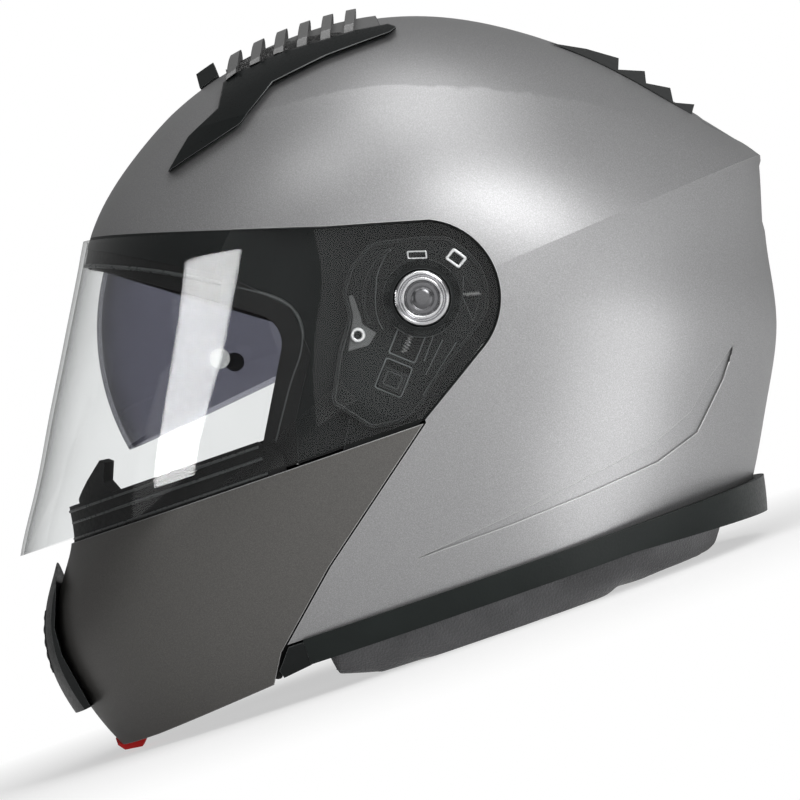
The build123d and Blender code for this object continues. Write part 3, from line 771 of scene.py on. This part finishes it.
# The ribbed plate on the chin vent: half width, ends as shares, what it stands proud and
# is let in; then its grid, its edge, its flat border, and its ribs
RIBBED_HALF, RIBBED_TOP, RIBBED_LOW, RIBBED_PROUD, RIBBED_SUNK = 0.020, -0.57, -0.79, 0.0004, 0.0006
RIBBED_STEPS, RIBBED_EDGE, RIBBED_BORDER, RIBBED_SLOPE = 81, 0.0008, 0.0022, 0.001
RIBBED_COUNT, RIBBED_RISE, RIBBED_LOWER, RIBBED_BACK, RIBBED_START = 5, 0.0006, 0.7, 0.0006, 0.05
RIBBED_SHARP = 40


def softened(points, rounds=3, cut=0.25):
    """Corners cut off an open line, again and again."""
    for _ in range(rounds):
        made = [points[0]]
        for a, b in zip(points, points[1:]):
            made += [tuple((1 - t) * p + t * q for p, q in zip(a, b)) for t in (cut, 1 - cut)]
        points = made + [points[-1]]
    return points


def outward(form, start, along, reach=REACH):
    """Where lines from points inside a smooth form leave it, each along its direction."""
    low, high = np.zeros(len(start)), np.full(len(start), reach)
    for _ in range(HALVINGS):
        middle = (low + high) / 2
        inside = form.value(start + along * middle[:, None]) < 0
        low, high = np.where(inside, middle, low), np.where(inside, high, middle)
    return start + along * low[:, None]


def make_beads(mats):
    for name, line, depth, furthest, radius, sides, entry in BEADS:
        start = np.array([from_pivot(0, 0, y, z) for y, z in shares(softened(line))])
        path = outward(Skin(depth), start, np.array([[1.0, 0, 0]]), HALF_WIDTH)
        for side, word in SIDES:
            path[:, 0] = side * np.minimum(np.abs(path[:, 0]), furthest)
            add_piece(f"{name}_{word}", tube(name, path.tolist(), radius, sides), "helmet",
                      (mats[entry],), (), BEAD_SHARP)


def make_sill(mats):
    turns = np.radians(np.linspace(-SILL_SPAN, SILL_SPAN, SILL_STEPS))
    along = np.column_stack([np.sin(turns), -np.cos(turns), np.zeros_like(turns)])
    for number, up in enumerate(SILL_LINES):
        start = np.tile([0.0, PIVOT.y, PIVOT.z + up * CROWN], (len(turns), 1))
        path = outward(Skin(SILL_DEPTH), start, along)
        path = path[path[:, 1] < PIVOT.y + SILL_BACK * CROWN]
        add_piece(f"sill_line_{number}", tube("sill", path.tolist(), SILL_RADIUS, SILL_SIDES),
                  "chin_bar", (mats["lip"],), (), BEAD_SHARP)


def slab(name, front, back, steps):
    """Solid between two square grids of points, of so many steps each way."""
    count, faces = steps * steps, []
    for row in range(steps - 1):
        for a in range(row * steps, row * steps + steps - 1):
            faces.append((a, a + 1, a + 1 + steps, a + steps))
            faces.append(tuple(count + k for k in (a + steps, a + 1 + steps, a + 1, a)))
    last = steps - 1
    border = ([(0, k) for k in range(steps)] + [(k, last) for k in range(1, steps)]
              + [(last, k) for k in range(last - 1, -1, -1)] + [(k, 0) for k in range(last - 1, 0, -1)])
    border = [row * steps + k for row, k in border]
    for a, b in zip(border, border[1:] + border[:1]):
        faces.append((b, a, a + count, b + count))
    return new_mesh(name, np.vstack([front, back]).tolist(), faces)


def make_vent_plate(mats):
    share = np.linspace(0, 1, RIBBED_STEPS)
    u, v = (grid.ravel() for grid in np.meshgrid(2 * share - 1, share))
    height = (RIBBED_TOP - RIBBED_LOW) * CROWN
    top = PIVOT.z + RIBBED_TOP * CROWN
    start = np.column_stack([u * RIBBED_HALF, np.full_like(u, PIVOT.y - RIBBED_START),
                             top - v * height])
    ahead = np.array([[0.0, -1.0, 0.0]])
    on = outward(Skin(-CHIN_VENT_PROUD), start, ahead)
    rim = np.minimum((1 - np.abs(u)) * RIBBED_HALF, np.minimum(v, 1 - v) * height)
    rise = np.clip(rim / RIBBED_EDGE, 0, 1) * (RIBBED_PROUD + RIBBED_SUNK) - RIBBED_SUNK
    inner = np.clip((rim - RIBBED_BORDER) / RIBBED_SLOPE, 0, 1)
    wave = np.abs(np.sin(v * math.pi * RIBBED_COUNT)) - RIBBED_LOWER
    front = on + ahead * (rise + inner * RIBBED_RISE * wave)[:, None]
    back = on - ahead * (RIBBED_SUNK + RIBBED_BACK)
    add_piece("chin_vent_plate", slab("vent_plate", front, back, RIBBED_STEPS), "chin_bar",
              (mats["black"],), (), RIBBED_SHARP)


# The side mechanism, in millimetres from the pivot. Heights run out along X

KNOB_PROFILE = [(116.5, 11.5), (129.4, 11.5), (130.5, 11.1), (131.1, 10.5), (131.15, 10.0),
                (130.7, 9.6), (129.9, 9.45), (129.6, 9.2), (129.6, 8.95), (130.2, 8.75),
                (130.8, 8.4), (130.95, 7.9), (130.7, 7.4), (130.0, 7.1), (129.6, 6.9),
                (129.55, 6.6), (129.9, 6.4), (129.95, 5.0), (129.6, 4.7), (129.6, 4.3),
                (129.9, 4.1), (130.1, 2.4), (130.15, 0.02)]
KNOB_DISC, KNOB_STEPS, KNOB_SHARP = 14, 112, 50
SCREW_PROFILE = [(117.0, 3.1), (118.2, 3.1), (118.6, 2.7), (118.6, 1.9), (118.3, 1.6),
                 (117.6, 1.5), (117.6, 0.02)]
SCREW_SHARE, SCREW_SOCKET, SCREW_STEPS, SCREW_SHARP = (-0.237, -0.045), 4, 40, 40
PLATE_LOW, PLATE_FLOOR, PLATE_TOP, CUT_TOP, LENS_DEEP = 113.3, 114.2, 116.5, 121, 1.0
# Outlines, back and up from the pivot axis in shares of CROWN, and their corner radii
PLATE_SHARES = [(-0.10, 0.222), (0.049, 0.19), (0.14, 0.162), (0.185, 0.10), (0.212, 0.04),
                (0.212, -0.035), (0.19, -0.10), (0.142, -0.142), (-0.043, -0.262),
                (-0.12, -0.33), (-0.20, -0.355), (-0.29, -0.345), (-0.385, -0.225),
                (-0.31, -0.081), (-0.24, 0.02), (-0.236, 0.10), (-0.185, 0.17)]
SHIM_SHARES = [(-0.21, 0.085), (-0.208, 0.0), (-0.212, -0.014), (-0.178, -0.058),
               (-0.215, -0.088), (-0.285, -0.085), (-0.232, 0.02), (-0.226, 0.085)]
CATCH_SHARES = [(0.150, 0.118), (0.178, 0.078), (0.146, 0.058), (0.118, 0.098)]
BAR_SHARES = [(0.005, 0.160), (0.062, 0.142), (0.057, 0.120), (0.0, 0.138)]
LENS_SHARES = [(0.154, 0.029), (0.128, -0.039), (0.134, -0.125), (0.18, -0.057)]
PLATE_ROUND, SHIM_ROUND, CATCH_ROUND, BAR_ROUND, LENS_ROUND = 2.2, 0.6, 0.5, 0.4, 0.8
# The release track leans back; its slot and pocket are boxes along it
SLOT_SHARE, TRACK_LEAN, TRACK_WIDE, TRACK_ROUND = (-0.088, -0.118), 49.0, 11.0, 1.0
SLOT_LONG, POCKET_LONG, POCKET_AT = 14.0, 12.5, -16.0
TAB_LONG, TAB_AT, TAB_TOP, TAB_CHAMFER, TAB_ROOM = 9.0, POCKET_AT - 1.2, 118.4, 0.5, 0.6
RIDGE_SHORT, RIDGE_NARROW, RIDGE_WIDE, RIDGE_PROUD = 3.4, 4.4, 0.7, 0.5
MOUTH_GROW, MOUTH_WIDE, MOUTH_PROUD = 0.5, 0.5, 0.35
RIM_WIDE, RIM_SUNK, RIM_TOP = 1.6, 0.6, 118.3
GUIDE_RADIUS, GUIDE_ARC, GUIDE_STEPS, GUIDE_SUNK, GUIDE_TOP = 23.8, (104, 186), 28, 0.2, 119.5
BEDDED, SHIM_PROUD = 0.1, 0.6
CATCH_WIDE, CATCH_PROUD, BAR_WIDE, BAR_PROUD = 1.3, 2.2, 0.8, 0.7
CHAMFER = 0.25
# Springs: centre out, back and up; lean; outer radius, length, turns, wire radius
TAB_COIL = ((115.9, -11.0, -14.75), TRACK_LEAN, 1.7, 10.5, 8, 0.32)
DETENT_AWAY, DETENT_LEAN = 20.5, -14
DETENT_COIL = ((117.6, DETENT_AWAY * math.cos(math.radians(DETENT_LEAN)),
                DETENT_AWAY * math.sin(math.radians(DETENT_LEAN))), DETENT_LEAN, 1.1, 7.5, 9, 0.24)
COIL_STEPS, COIL_SIDES = 16, 8
# Raised lines on the plate: points in shares, and half width. They are real ridges whose lighter grey
# is a painted highlight along the plate's edges
PLATE_LINES = [
    ([(-0.044, 0.186), (-0.073, 0.166), (-0.099, 0.139), (-0.118, 0.112), (-0.130, 0.083),
      (-0.146, 0.045), (-0.157, 0.003), (-0.158, -0.026), (-0.154, -0.053)], 0.22),
    ([(0.006, -0.115), (-0.060, -0.196)], 0.2),
    ([(0.060, -0.172), (-0.100, -0.300)], 0.2),
    ([(0.020, -0.150), (-0.070, -0.240)], 0.2),
]
LINE_SIDES = 6


def rounded(points, radius, steps=6, most=0.45):
    """A closed outline with its corners turned into curves, which take up at most a
    given share of each side."""
    made = []
    count = len(points)
    for i, corner in enumerate(points):
        corner = np.array(corner, float)
        before = np.array(points[i - 1], float) - corner
        after = np.array(points[(i + 1) % count], float) - corner
        cut = min(radius, most * np.linalg.norm(before), most * np.linalg.norm(after))
        first = corner + before / np.linalg.norm(before) * cut
        last = corner + after / np.linalg.norm(after) * cut
        for k in range(steps + 1):
            t = k / steps
            made.append(tuple((1 - t) ** 2 * first + 2 * t * (1 - t) * corner + t ** 2 * last))
    return made


def area_of(points):
    return sum(a[0] * b[1] - b[0] * a[1] for a, b in zip(points, points[1:] + points[:1])) / 2


def prism(name, outline, low, high, side, chamfer=CHAMFER):
    """Solid between two heights over an outline, with its outer edge chamfered."""
    if area_of(outline) < 0:
        outline = outline[::-1]
    points = []
    ring = np.array(outline, float)
    ahead = unit(np.roll(ring, -1, axis=0) - np.roll(ring, 1, axis=0))
    inward = np.stack([-ahead[:, 1], ahead[:, 0]], axis=1) * chamfer
    for x, shape in ((low, ring), (high - chamfer, ring), (high, ring + inward)):
        points += [from_pivot(side, x, y, z) for y, z in shape]
    faces = ring_faces(3, len(ring)) + ring_ends(3, len(ring))
    return new_mesh(name, points, [f[::side] for f in faces])


def wall(name, path, width, low, high, side, closed=True):
    """Wall of even width along a line, with its top edges chamfered."""
    line = np.array(path, float)
    if closed:
        ahead = np.roll(line, -1, axis=0) - np.roll(line, 1, axis=0)
    else:
        ahead = np.gradient(line, axis=0)
    ahead = unit(ahead)
    out = np.stack([ahead[:, 1], -ahead[:, 0]], axis=1) * width / 2
    edge = min(CHAMFER, width / 4)
    slim = out * (1 - 2 * edge / width)
    rings = [(low, line + out), (high - edge, line + out), (high, line + slim),
             (high, line - slim), (high - edge, line - out), (low, line - out)]
    points = [from_pivot(side, x, y, z) for x, shape in rings for y, z in shape]
    count = len(line)
    faces = ring_faces(len(rings), count, closed, True)
    if not closed:
        faces.append(tuple(range(0, len(points), count)))
        faces.append(tuple(range(count - 1, len(points), count))[::-1])
    mesh = new_mesh(name, points, faces)
    shape = bmesh.new()
    shape.from_mesh(mesh)
    bmesh.ops.recalc_face_normals(shape, faces=shape.faces)
    shape.to_mesh(mesh)
    shape.free()
    return mesh


def track_box(middle, long, wide):
    """Outline of a rounded box on the release track, `middle` along it from the slot."""
    lean = math.radians(TRACK_LEAN)
    along, across = (math.cos(lean), math.sin(lean)), (-math.sin(lean), math.cos(lean))
    centre = shares([SLOT_SHARE])[0]
    corners = []
    for a, b in ((-1, -1), (1, -1), (1, 1), (-1, 1)):
        u, v = middle + a * long / 2, b * wide / 2
        corners.append((centre[0] + u * along[0] + v * across[0],
                        centre[1] + u * along[1] + v * across[1]))
    return rounded(corners, TRACK_ROUND)


def applied(piece):
    """The piece's mesh with its modifiers applied."""
    depsgraph = bpy.context.evaluated_depsgraph_get()
    mesh = bpy.data.meshes.new_from_object(piece.evaluated_get(depsgraph))
    piece.modifiers.clear()
    piece.data = mesh
    return mesh


def carved(mesh, cutters):
    """The mesh with the cutters taken out of it."""
    body = linked(bpy.data.objects.new("carved", mesh))
    tools = [linked(bpy.data.objects.new("cutter", cutter)) for cutter in cutters]
    for tool in tools:
        cut = body.modifiers.new("cut", "BOOLEAN")
        cut.object, cut.operation, cut.solver = tool, "DIFFERENCE", "EXACT"
    made = applied(body)
    for thing in [body] + tools:
        bpy.data.objects.remove(thing)
    return made


def coil(name, side, centre, lean, radius, length, turns, wire):
    """Coil spring lying in the side view, its axis at a lean."""
    x, y, z = centre
    along = math.cos(math.radians(lean)), math.sin(math.radians(lean))
    path = []
    count = turns * COIL_STEPS
    for k in range(count + 1):
        turn = 2 * math.pi * turns * k / count
        run = (k / count - 0.5) * (length - 2 * wire)
        out, across = (radius - wire) * math.cos(turn), (radius - wire) * math.sin(turn)
        path.append(from_pivot(side, x + out, y + run * along[0] - across * along[1],
                               z + run * along[1] + across * along[0]))
    return tube(name, path, wire * MM, COIL_SIDES)


class Mechanism:
    """The parts under one ear of the visor."""

    def __init__(self, side, word, mats):
        self.side, self.word, self.mats = side, word, mats

    def put(self, name, mesh, materials, node=None, sharp=30):
        stands_for = [f"{node}_{self.word}"] if node else ()
        add_piece(f"{name}_{self.word}", mesh, "helmet",
                  [self.mats[entry] for entry in materials.split()], stands_for, sharp)

    def put_wall(self, name, outline, width, foot, top, material="black",
                 closed=True):
        self.put(name, wall(name, outline, width, foot, top, self.side, closed), material)

    def knob(self):
        self.put("knob", turned("knob", KNOB_PROFILE, (0, 0), self.side, KNOB_STEPS, KNOB_DISC),
                 "chrome dark_chrome", "pivot_knob", KNOB_SHARP)

    def base_plate(self):
        outline = rounded(shares(PLATE_SHARES), PLATE_ROUND)
        holes = [(track_box(0, SLOT_LONG, TRACK_WIDE), PLATE_FLOOR),
                 (track_box(POCKET_AT, POCKET_LONG, TRACK_WIDE), PLATE_FLOOR),
                 (rounded(shares(LENS_SHARES), LENS_ROUND), PLATE_TOP - LENS_DEEP)]
        plate = carved(prism("plate", outline, PLATE_LOW, PLATE_TOP, self.side),
                       [prism("hole", hole, floor, CUT_TOP, self.side) for hole, floor in holes])
        self.put("base_plate", plate, "black", "visor_base")
        self.put_wall("base_rim", outline, RIM_WIDE, PLATE_TOP - RIM_SUNK, RIM_TOP)
        arc = [(GUIDE_RADIUS * math.cos(a), GUIDE_RADIUS * math.sin(a))
               for a in np.radians(np.linspace(*GUIDE_ARC, GUIDE_STEPS))]
        self.put_wall("guide_wall", arc, RIM_WIDE, PLATE_TOP - GUIDE_SUNK, GUIDE_TOP, closed=False)

    def release(self):
        tab = prism("tab", track_box(TAB_AT, TAB_LONG, TRACK_WIDE - TAB_ROOM), PLATE_FLOOR, TAB_TOP,
                    self.side, TAB_CHAMFER)
        self.put("release_tab", tab, "black")
        self.put_wall("tab_ridge", track_box(TAB_AT, TAB_LONG - RIDGE_SHORT, TRACK_WIDE - RIDGE_NARROW),
                      RIDGE_WIDE, TAB_TOP - BEDDED, TAB_TOP + RIDGE_PROUD)
        # The slot and pocket lips are lighter grey: painted highlight round their mouths
        for name, middle, long in (("slot_lip", 0, SLOT_LONG), ("pocket_lip", POCKET_AT, POCKET_LONG)):
            self.put_wall(name, track_box(middle, long + MOUTH_GROW, TRACK_WIDE + MOUTH_GROW),
                          MOUTH_WIDE, PLATE_TOP - BEDDED, PLATE_TOP + MOUTH_PROUD, "highlight_grey")

    def metalwork(self):
        foot = PLATE_TOP - BEDDED
        self.put_wall("catch", rounded(shares(CATCH_SHARES), CATCH_ROUND), CATCH_WIDE, foot,
                      PLATE_TOP + CATCH_PROUD, "steel")
        self.put_wall("bar_frame", rounded(shares(BAR_SHARES), BAR_ROUND), BAR_WIDE, foot,
                      PLATE_TOP + BAR_PROUD, "steel")
        self.put("shim", prism("shim", rounded(shares(SHIM_SHARES), SHIM_ROUND), foot,
                               PLATE_TOP + SHIM_PROUD, self.side), "shim")
        self.put("screw", turned("screw", SCREW_PROFILE, shares([SCREW_SHARE])[0], self.side,
                                 SCREW_STEPS, SCREW_SOCKET), "steel black",
                 sharp=SCREW_SHARP)
        for name, sizes in (("tab_coil", TAB_COIL), ("detent_coil", DETENT_COIL)):
            self.put(name, coil(name, self.side, *sizes), "spring", sharp=BEAD_SHARP)

    def lines(self):
        for number, (line, radius) in enumerate(PLATE_LINES):
            path = [from_pivot(self.side, PLATE_TOP, y, z) for y, z in shares(line)]
            self.put(f"plate_line_{number}", tube("line", path, radius * MM, LINE_SIDES),
                     "highlight_grey", sharp=BEAD_SHARP)


def make_mechanisms(mats):
    for side, word in SIDES:
        mechanism = Mechanism(side, word, mats)
        mechanism.knob()
        mechanism.base_plate()
        mechanism.release()
        mechanism.metalwork()
        mechanism.lines()


# Soft pieces: swollen by cloth pressure inside the space of their CAD solids

SOFT_WELD = 1e-5
SOFT_VOXEL = 0.0045
SOFT_SHRINK = 0.0022
SOFT_CAP = 0.006
SOFT_FRAMES = 20
SOFT_PRESSURE = 4
SOFT_OVER = 0.0002
# Sewn channels: depth and width; the cheek pads' run aslant, the crown's both ways
ROLL_SEAM, ROLL_LEVEL = (0.0016, 0.0022), 0.019
CHEEK_SEAM, CHEEK_SLOPE, CHEEK_PITCH = (0.0018, 0.0024), 0.5, 0.026
CROWN_SEAM, CROWN_PITCH = (0.0018, 0.0024), 0.042
CROWN_ROW, ROW_PITCH = (0.0014, 0.0022), 0.05
# Straps: longest edge, most faces and rounds of cutting; then the ribs' pitch and depths
STRAP_EDGE, STRAP_FACES, STRAP_ROUNDS, STRAP_SHARP = 0.0014, 60000, 6, 50
STRAP_RIB, STRAP_SUNK, STRAP_RELIEF = 0.0016, 0.00012, 0.00008


def mesh_array(mesh, what):
    flat = np.zeros(len(mesh.vertices) * 3, np.float32)
    mesh.vertices.foreach_get(what, flat)
    return flat.reshape(-1, 3).astype(float)


def set_points(mesh, points):
    mesh.vertices.foreach_set("co", points.astype(np.float32).ravel())
    mesh.update()


def joined_copy(node):
    """A node's mesh to work on, with its points welded."""
    shape = bmesh.new()
    shape.from_mesh(frame["nodes"][node].data)
    bmesh.ops.remove_doubles(shape, verts=shape.verts, dist=SOFT_WELD)
    return shape


def swollen(piece, mesh):
    """Blows a shrunk piece up again by the cloth's pressure, each point moving at most SOFT_CAP."""
    start = mesh_array(mesh, "co")
    cloth = piece.modifiers.new("cloth", "CLOTH")
    cloth.settings.use_pressure = True
    cloth.settings.uniform_pressure_force = SOFT_PRESSURE
    cloth.settings.effector_weights.gravity = 0
    for number in range(1, SOFT_FRAMES + 1):
        bpy.context.scene.frame_set(number)
    mesh = applied(piece)
    bpy.context.scene.frame_set(1)
    moved = mesh_array(mesh, "co") - start
    far = np.linalg.norm(moved, axis=1)[:, None] + TINY
    set_points(mesh, start + moved * np.minimum(1, SOFT_CAP / far))


def soft_piece(node, material, seams):
    """Padded piece in place of a node; seams(points) gives depths pressed into it."""
    shape = joined_copy(node)
    closed = bpy.data.meshes.new(node + "_closed")
    shape.to_mesh(closed)
    tree = BVHTree.FromBMesh(shape)
    shape.free()
    piece = linked(bpy.data.objects.new(node + "_soft", closed))
    remesh = piece.modifiers.new("remesh", "REMESH")
    remesh.mode, remesh.voxel_size = "VOXEL", SOFT_VOXEL
    mesh = applied(piece)
    set_points(mesh, mesh_array(mesh, "co") - mesh_array(mesh, "normal") * SOFT_SHRINK)
    swollen(piece, mesh)
    piece.modifiers.new("rounder", "SUBSURF").levels = 1
    mesh = applied(piece)
    points = mesh_array(mesh, "co")
    points -= mesh_array(mesh, "normal") * seams(points)[:, None]
    for i, p in enumerate(points):
        near, out, _, _ = tree.find_nearest(Vector(p))
        if near is not None and (Vector(p) - near).dot(out) > SOFT_OVER:
            points[i] = near + out * SOFT_OVER
    set_points(mesh, points)
    mesh.polygons.foreach_set("use_smooth", np.ones(len(mesh.polygons), bool))
    dress(piece, material)
    take_place(piece, node)


def groove(offset, depth, width):
    """Depth of a sewn channel at a distance from its line."""
    return depth * np.exp(-(offset / width) ** 2)


def rows(along, pitch, seam):
    """Depth of sewn channels that come again at a pitch."""
    return groove(((along / pitch + 0.5) % 1 - 0.5) * pitch, *seam)


def roll_seams(points):
    return groove(distance(Skin(ROLL_LEVEL, spoiler=False), points), *ROLL_SEAM)


def cheek_seams(points):
    slope = (points[:, 1] - PIVOT.y) * CHEEK_SLOPE + (points[:, 2] - PIVOT.z)
    return rows(slope, CHEEK_PITCH, CHEEK_SEAM)


def crown_seams(points):
    return np.maximum(rows(points[:, 0], CROWN_PITCH, CROWN_SEAM),
                      rows(points[:, 1], ROW_PITCH, CROWN_ROW))


def webbing_piece(node, material):
    """Flat strap with ribs across its weave, in place of a node."""
    shape = joined_copy(node)
    for _ in range(STRAP_ROUNDS):
        long = [e for e in shape.edges if e.calc_length() > STRAP_EDGE]
        if not long or len(shape.faces) > STRAP_FACES:
            break
        bmesh.ops.subdivide_edges(shape, edges=long, cuts=1)
        bmesh.ops.triangulate(shape, faces=shape.faces)
    mesh = bpy.data.meshes.new(node + "_woven")
    shape.to_mesh(mesh)
    shape.free()
    points = mesh_array(mesh, "co")
    rib = np.sin(points[:, 1] * 2 * math.pi / STRAP_RIB)
    twill = np.sin((points[:, 0] + points[:, 2]) * 2 * math.pi / STRAP_RIB)
    sunk = STRAP_SUNK + STRAP_RELIEF * rib * twill
    set_points(mesh, points - mesh_array(mesh, "normal") * sunk[:, None])
    add_piece(node + "_woven", mesh, body_of(node), (material,), [node], STRAP_SHARP)


def make_soft(mats):
    soft_piece("neck_roll", mats["roll"], roll_seams)
    soft_piece("crown_pad", mats["lining"], crown_seams)
    for _, word in SIDES:
        soft_piece("cheek_pad_" + word, mats["lining"], cheek_seams)
        webbing_piece("chin_strap_" + word, mats["webbing"])


# Studio: pale floor, soft lamps and a softbox for the visor

WHITE = (1, 1, 1)
FLOOR_HALF, FLOOR_TONE = 12.0, (0.92, 0.92, 0.92)
# The floor glows white away from the helmet: shares and distances, near and far
FLOOR_GLOW, FLOOR_FADE = (0.55, 1.0), (0.18, 0.45)
WORLD_LIT = 0.03
MIRRORED = 0.2
# Lamps round the camera's axis: tilt from it, turn in the picture, size, power
LIT_CENTRE = Vector((0.09, 0.03, 0.14))
LAMP_FAR = 1.4
LAMPS = [("lower_right", 55, -15, 0.5, 9.5), ("upper", 62, 85, 0.6, 2.4),
         ("upper_left", 60, 120, 0.6, 2.3), ("front", 15, 90, 1.2, 4.7), ("top", 85, 90, 0.8, 7.1),
         ("upper_right", 40, 60, 0.5, 8.6), ("left", 60, 180, 0.6, 1.5)]
STRIP_PLACE = Vector((0.274, -0.3068, 0.2295))
STRIP_ACROSS = Vector((0.0399, 0.039, -0.0144))
STRIP_DOWN = Vector((0.0786, -0.0818, -0.0823))
STRIP_SIZE, STRIP_WATTS = (0.115, 0.28), 3.2


def area_light(name, size, watts):
    data = bpy.data.lights.new(name, "AREA")
    data.shape, data.size, data.size_y, data.energy = "RECTANGLE", size[0], size[1], watts
    return linked(bpy.data.objects.new(name, data))


def seen_ray(tree):
    """1 where the background is seen, straight or through glass, less in reflections."""
    path = tree.add("LightPath").outputs
    dim = tree.maths("MULTIPLY", path["Is Glossy Ray"], MIRRORED)
    seen = tree.maths("MAXIMUM", path["Is Camera Ray"], path["Is Transmission Ray"])
    return tree.maths("MAXIMUM", seen, dim)


def floor_material():
    tree = material("floor")
    far = tree.nodes.new("ShaderNodeVectorMath")
    far.operation = "LENGTH"
    tree.links.new(tree.place(), far.inputs[0])
    white = tree.spread(far.outputs["Value"], *FLOOR_GLOW, *FLOOR_FADE)
    share = tree.maths("MULTIPLY", white, seen_ray(tree))
    return tree.finish(tree.mixed(share, tree.add("BsdfDiffuse", Color=FLOOR_TONE).outputs["BSDF"],
                                  tree.add("Emission", Color=WHITE, Strength=1.0).outputs[0]))


def make_floor():
    h = FLOOR_HALF
    mesh = new_mesh("floor", [(-h, -h, 0), (h, -h, 0), (h, h, 0), (-h, h, 0)], [(0, 1, 2, 3)])
    floor = linked(bpy.data.objects.new("floor", mesh))
    mesh.materials.append(floor_material())
    floor.visible_shadow = False


def make_world():
    tree = Tree(bpy.data.worlds.new("world"))
    lit, seen = (tree.add("Background", Color=WHITE, Strength=strength).outputs["Background"]
                 for strength in (WORLD_LIT, 1.0))
    bpy.context.scene.world = tree.finish(tree.mixed(seen_ray(tree), lit, seen), "World")


def make_lamps():
    for name, tilt, turn, size, watts in LAMPS:
        tilt, turn = math.radians(tilt), math.radians(turn)
        away = (Vector((math.cos(tilt), 0, 0)) + math.sin(tilt) * math.cos(turn) * PICTURE_RIGHT
                + math.sin(tilt) * math.sin(turn) * PICTURE_UP)
        lamp = area_light(name, (size, size), watts)
        lamp.location = LIT_CENTRE + LAMP_FAR * away
        lamp.rotation_mode = "QUATERNION"
        lamp.rotation_quaternion = away.to_track_quat("Z", "Y")


def make_strip(visor):
    """The tall softbox mirrored in the clear visor, which alone it lights."""
    across = STRIP_ACROSS.normalized()
    out = across.cross(STRIP_DOWN).normalized()
    if (STRIP_PLACE - PIVOT).dot(out) < 0:
        out = -out
    lamp = area_light("strip", STRIP_SIZE, STRIP_WATTS)
    lamp.matrix_world = stood(STRIP_PLACE, across, out.cross(across).normalized(), out)
    only = bpy.data.collections.new("strip_lit")
    only.objects.link(visor)
    lamp.light_linking.receiver_collection = only
    lamp.visible_camera = False


make_camera()
materials = make_materials()
dress_nodes(materials)
visor_skin = make_skins(materials)
make_beads(materials)
make_sill(materials)
make_vent_plate(materials)
make_mechanisms(materials)
make_soft(materials)
make_floor()
make_world()
make_lamps()
make_strip(visor_skin)
bpy.context.scene.view_settings.view_transform = "Standard"
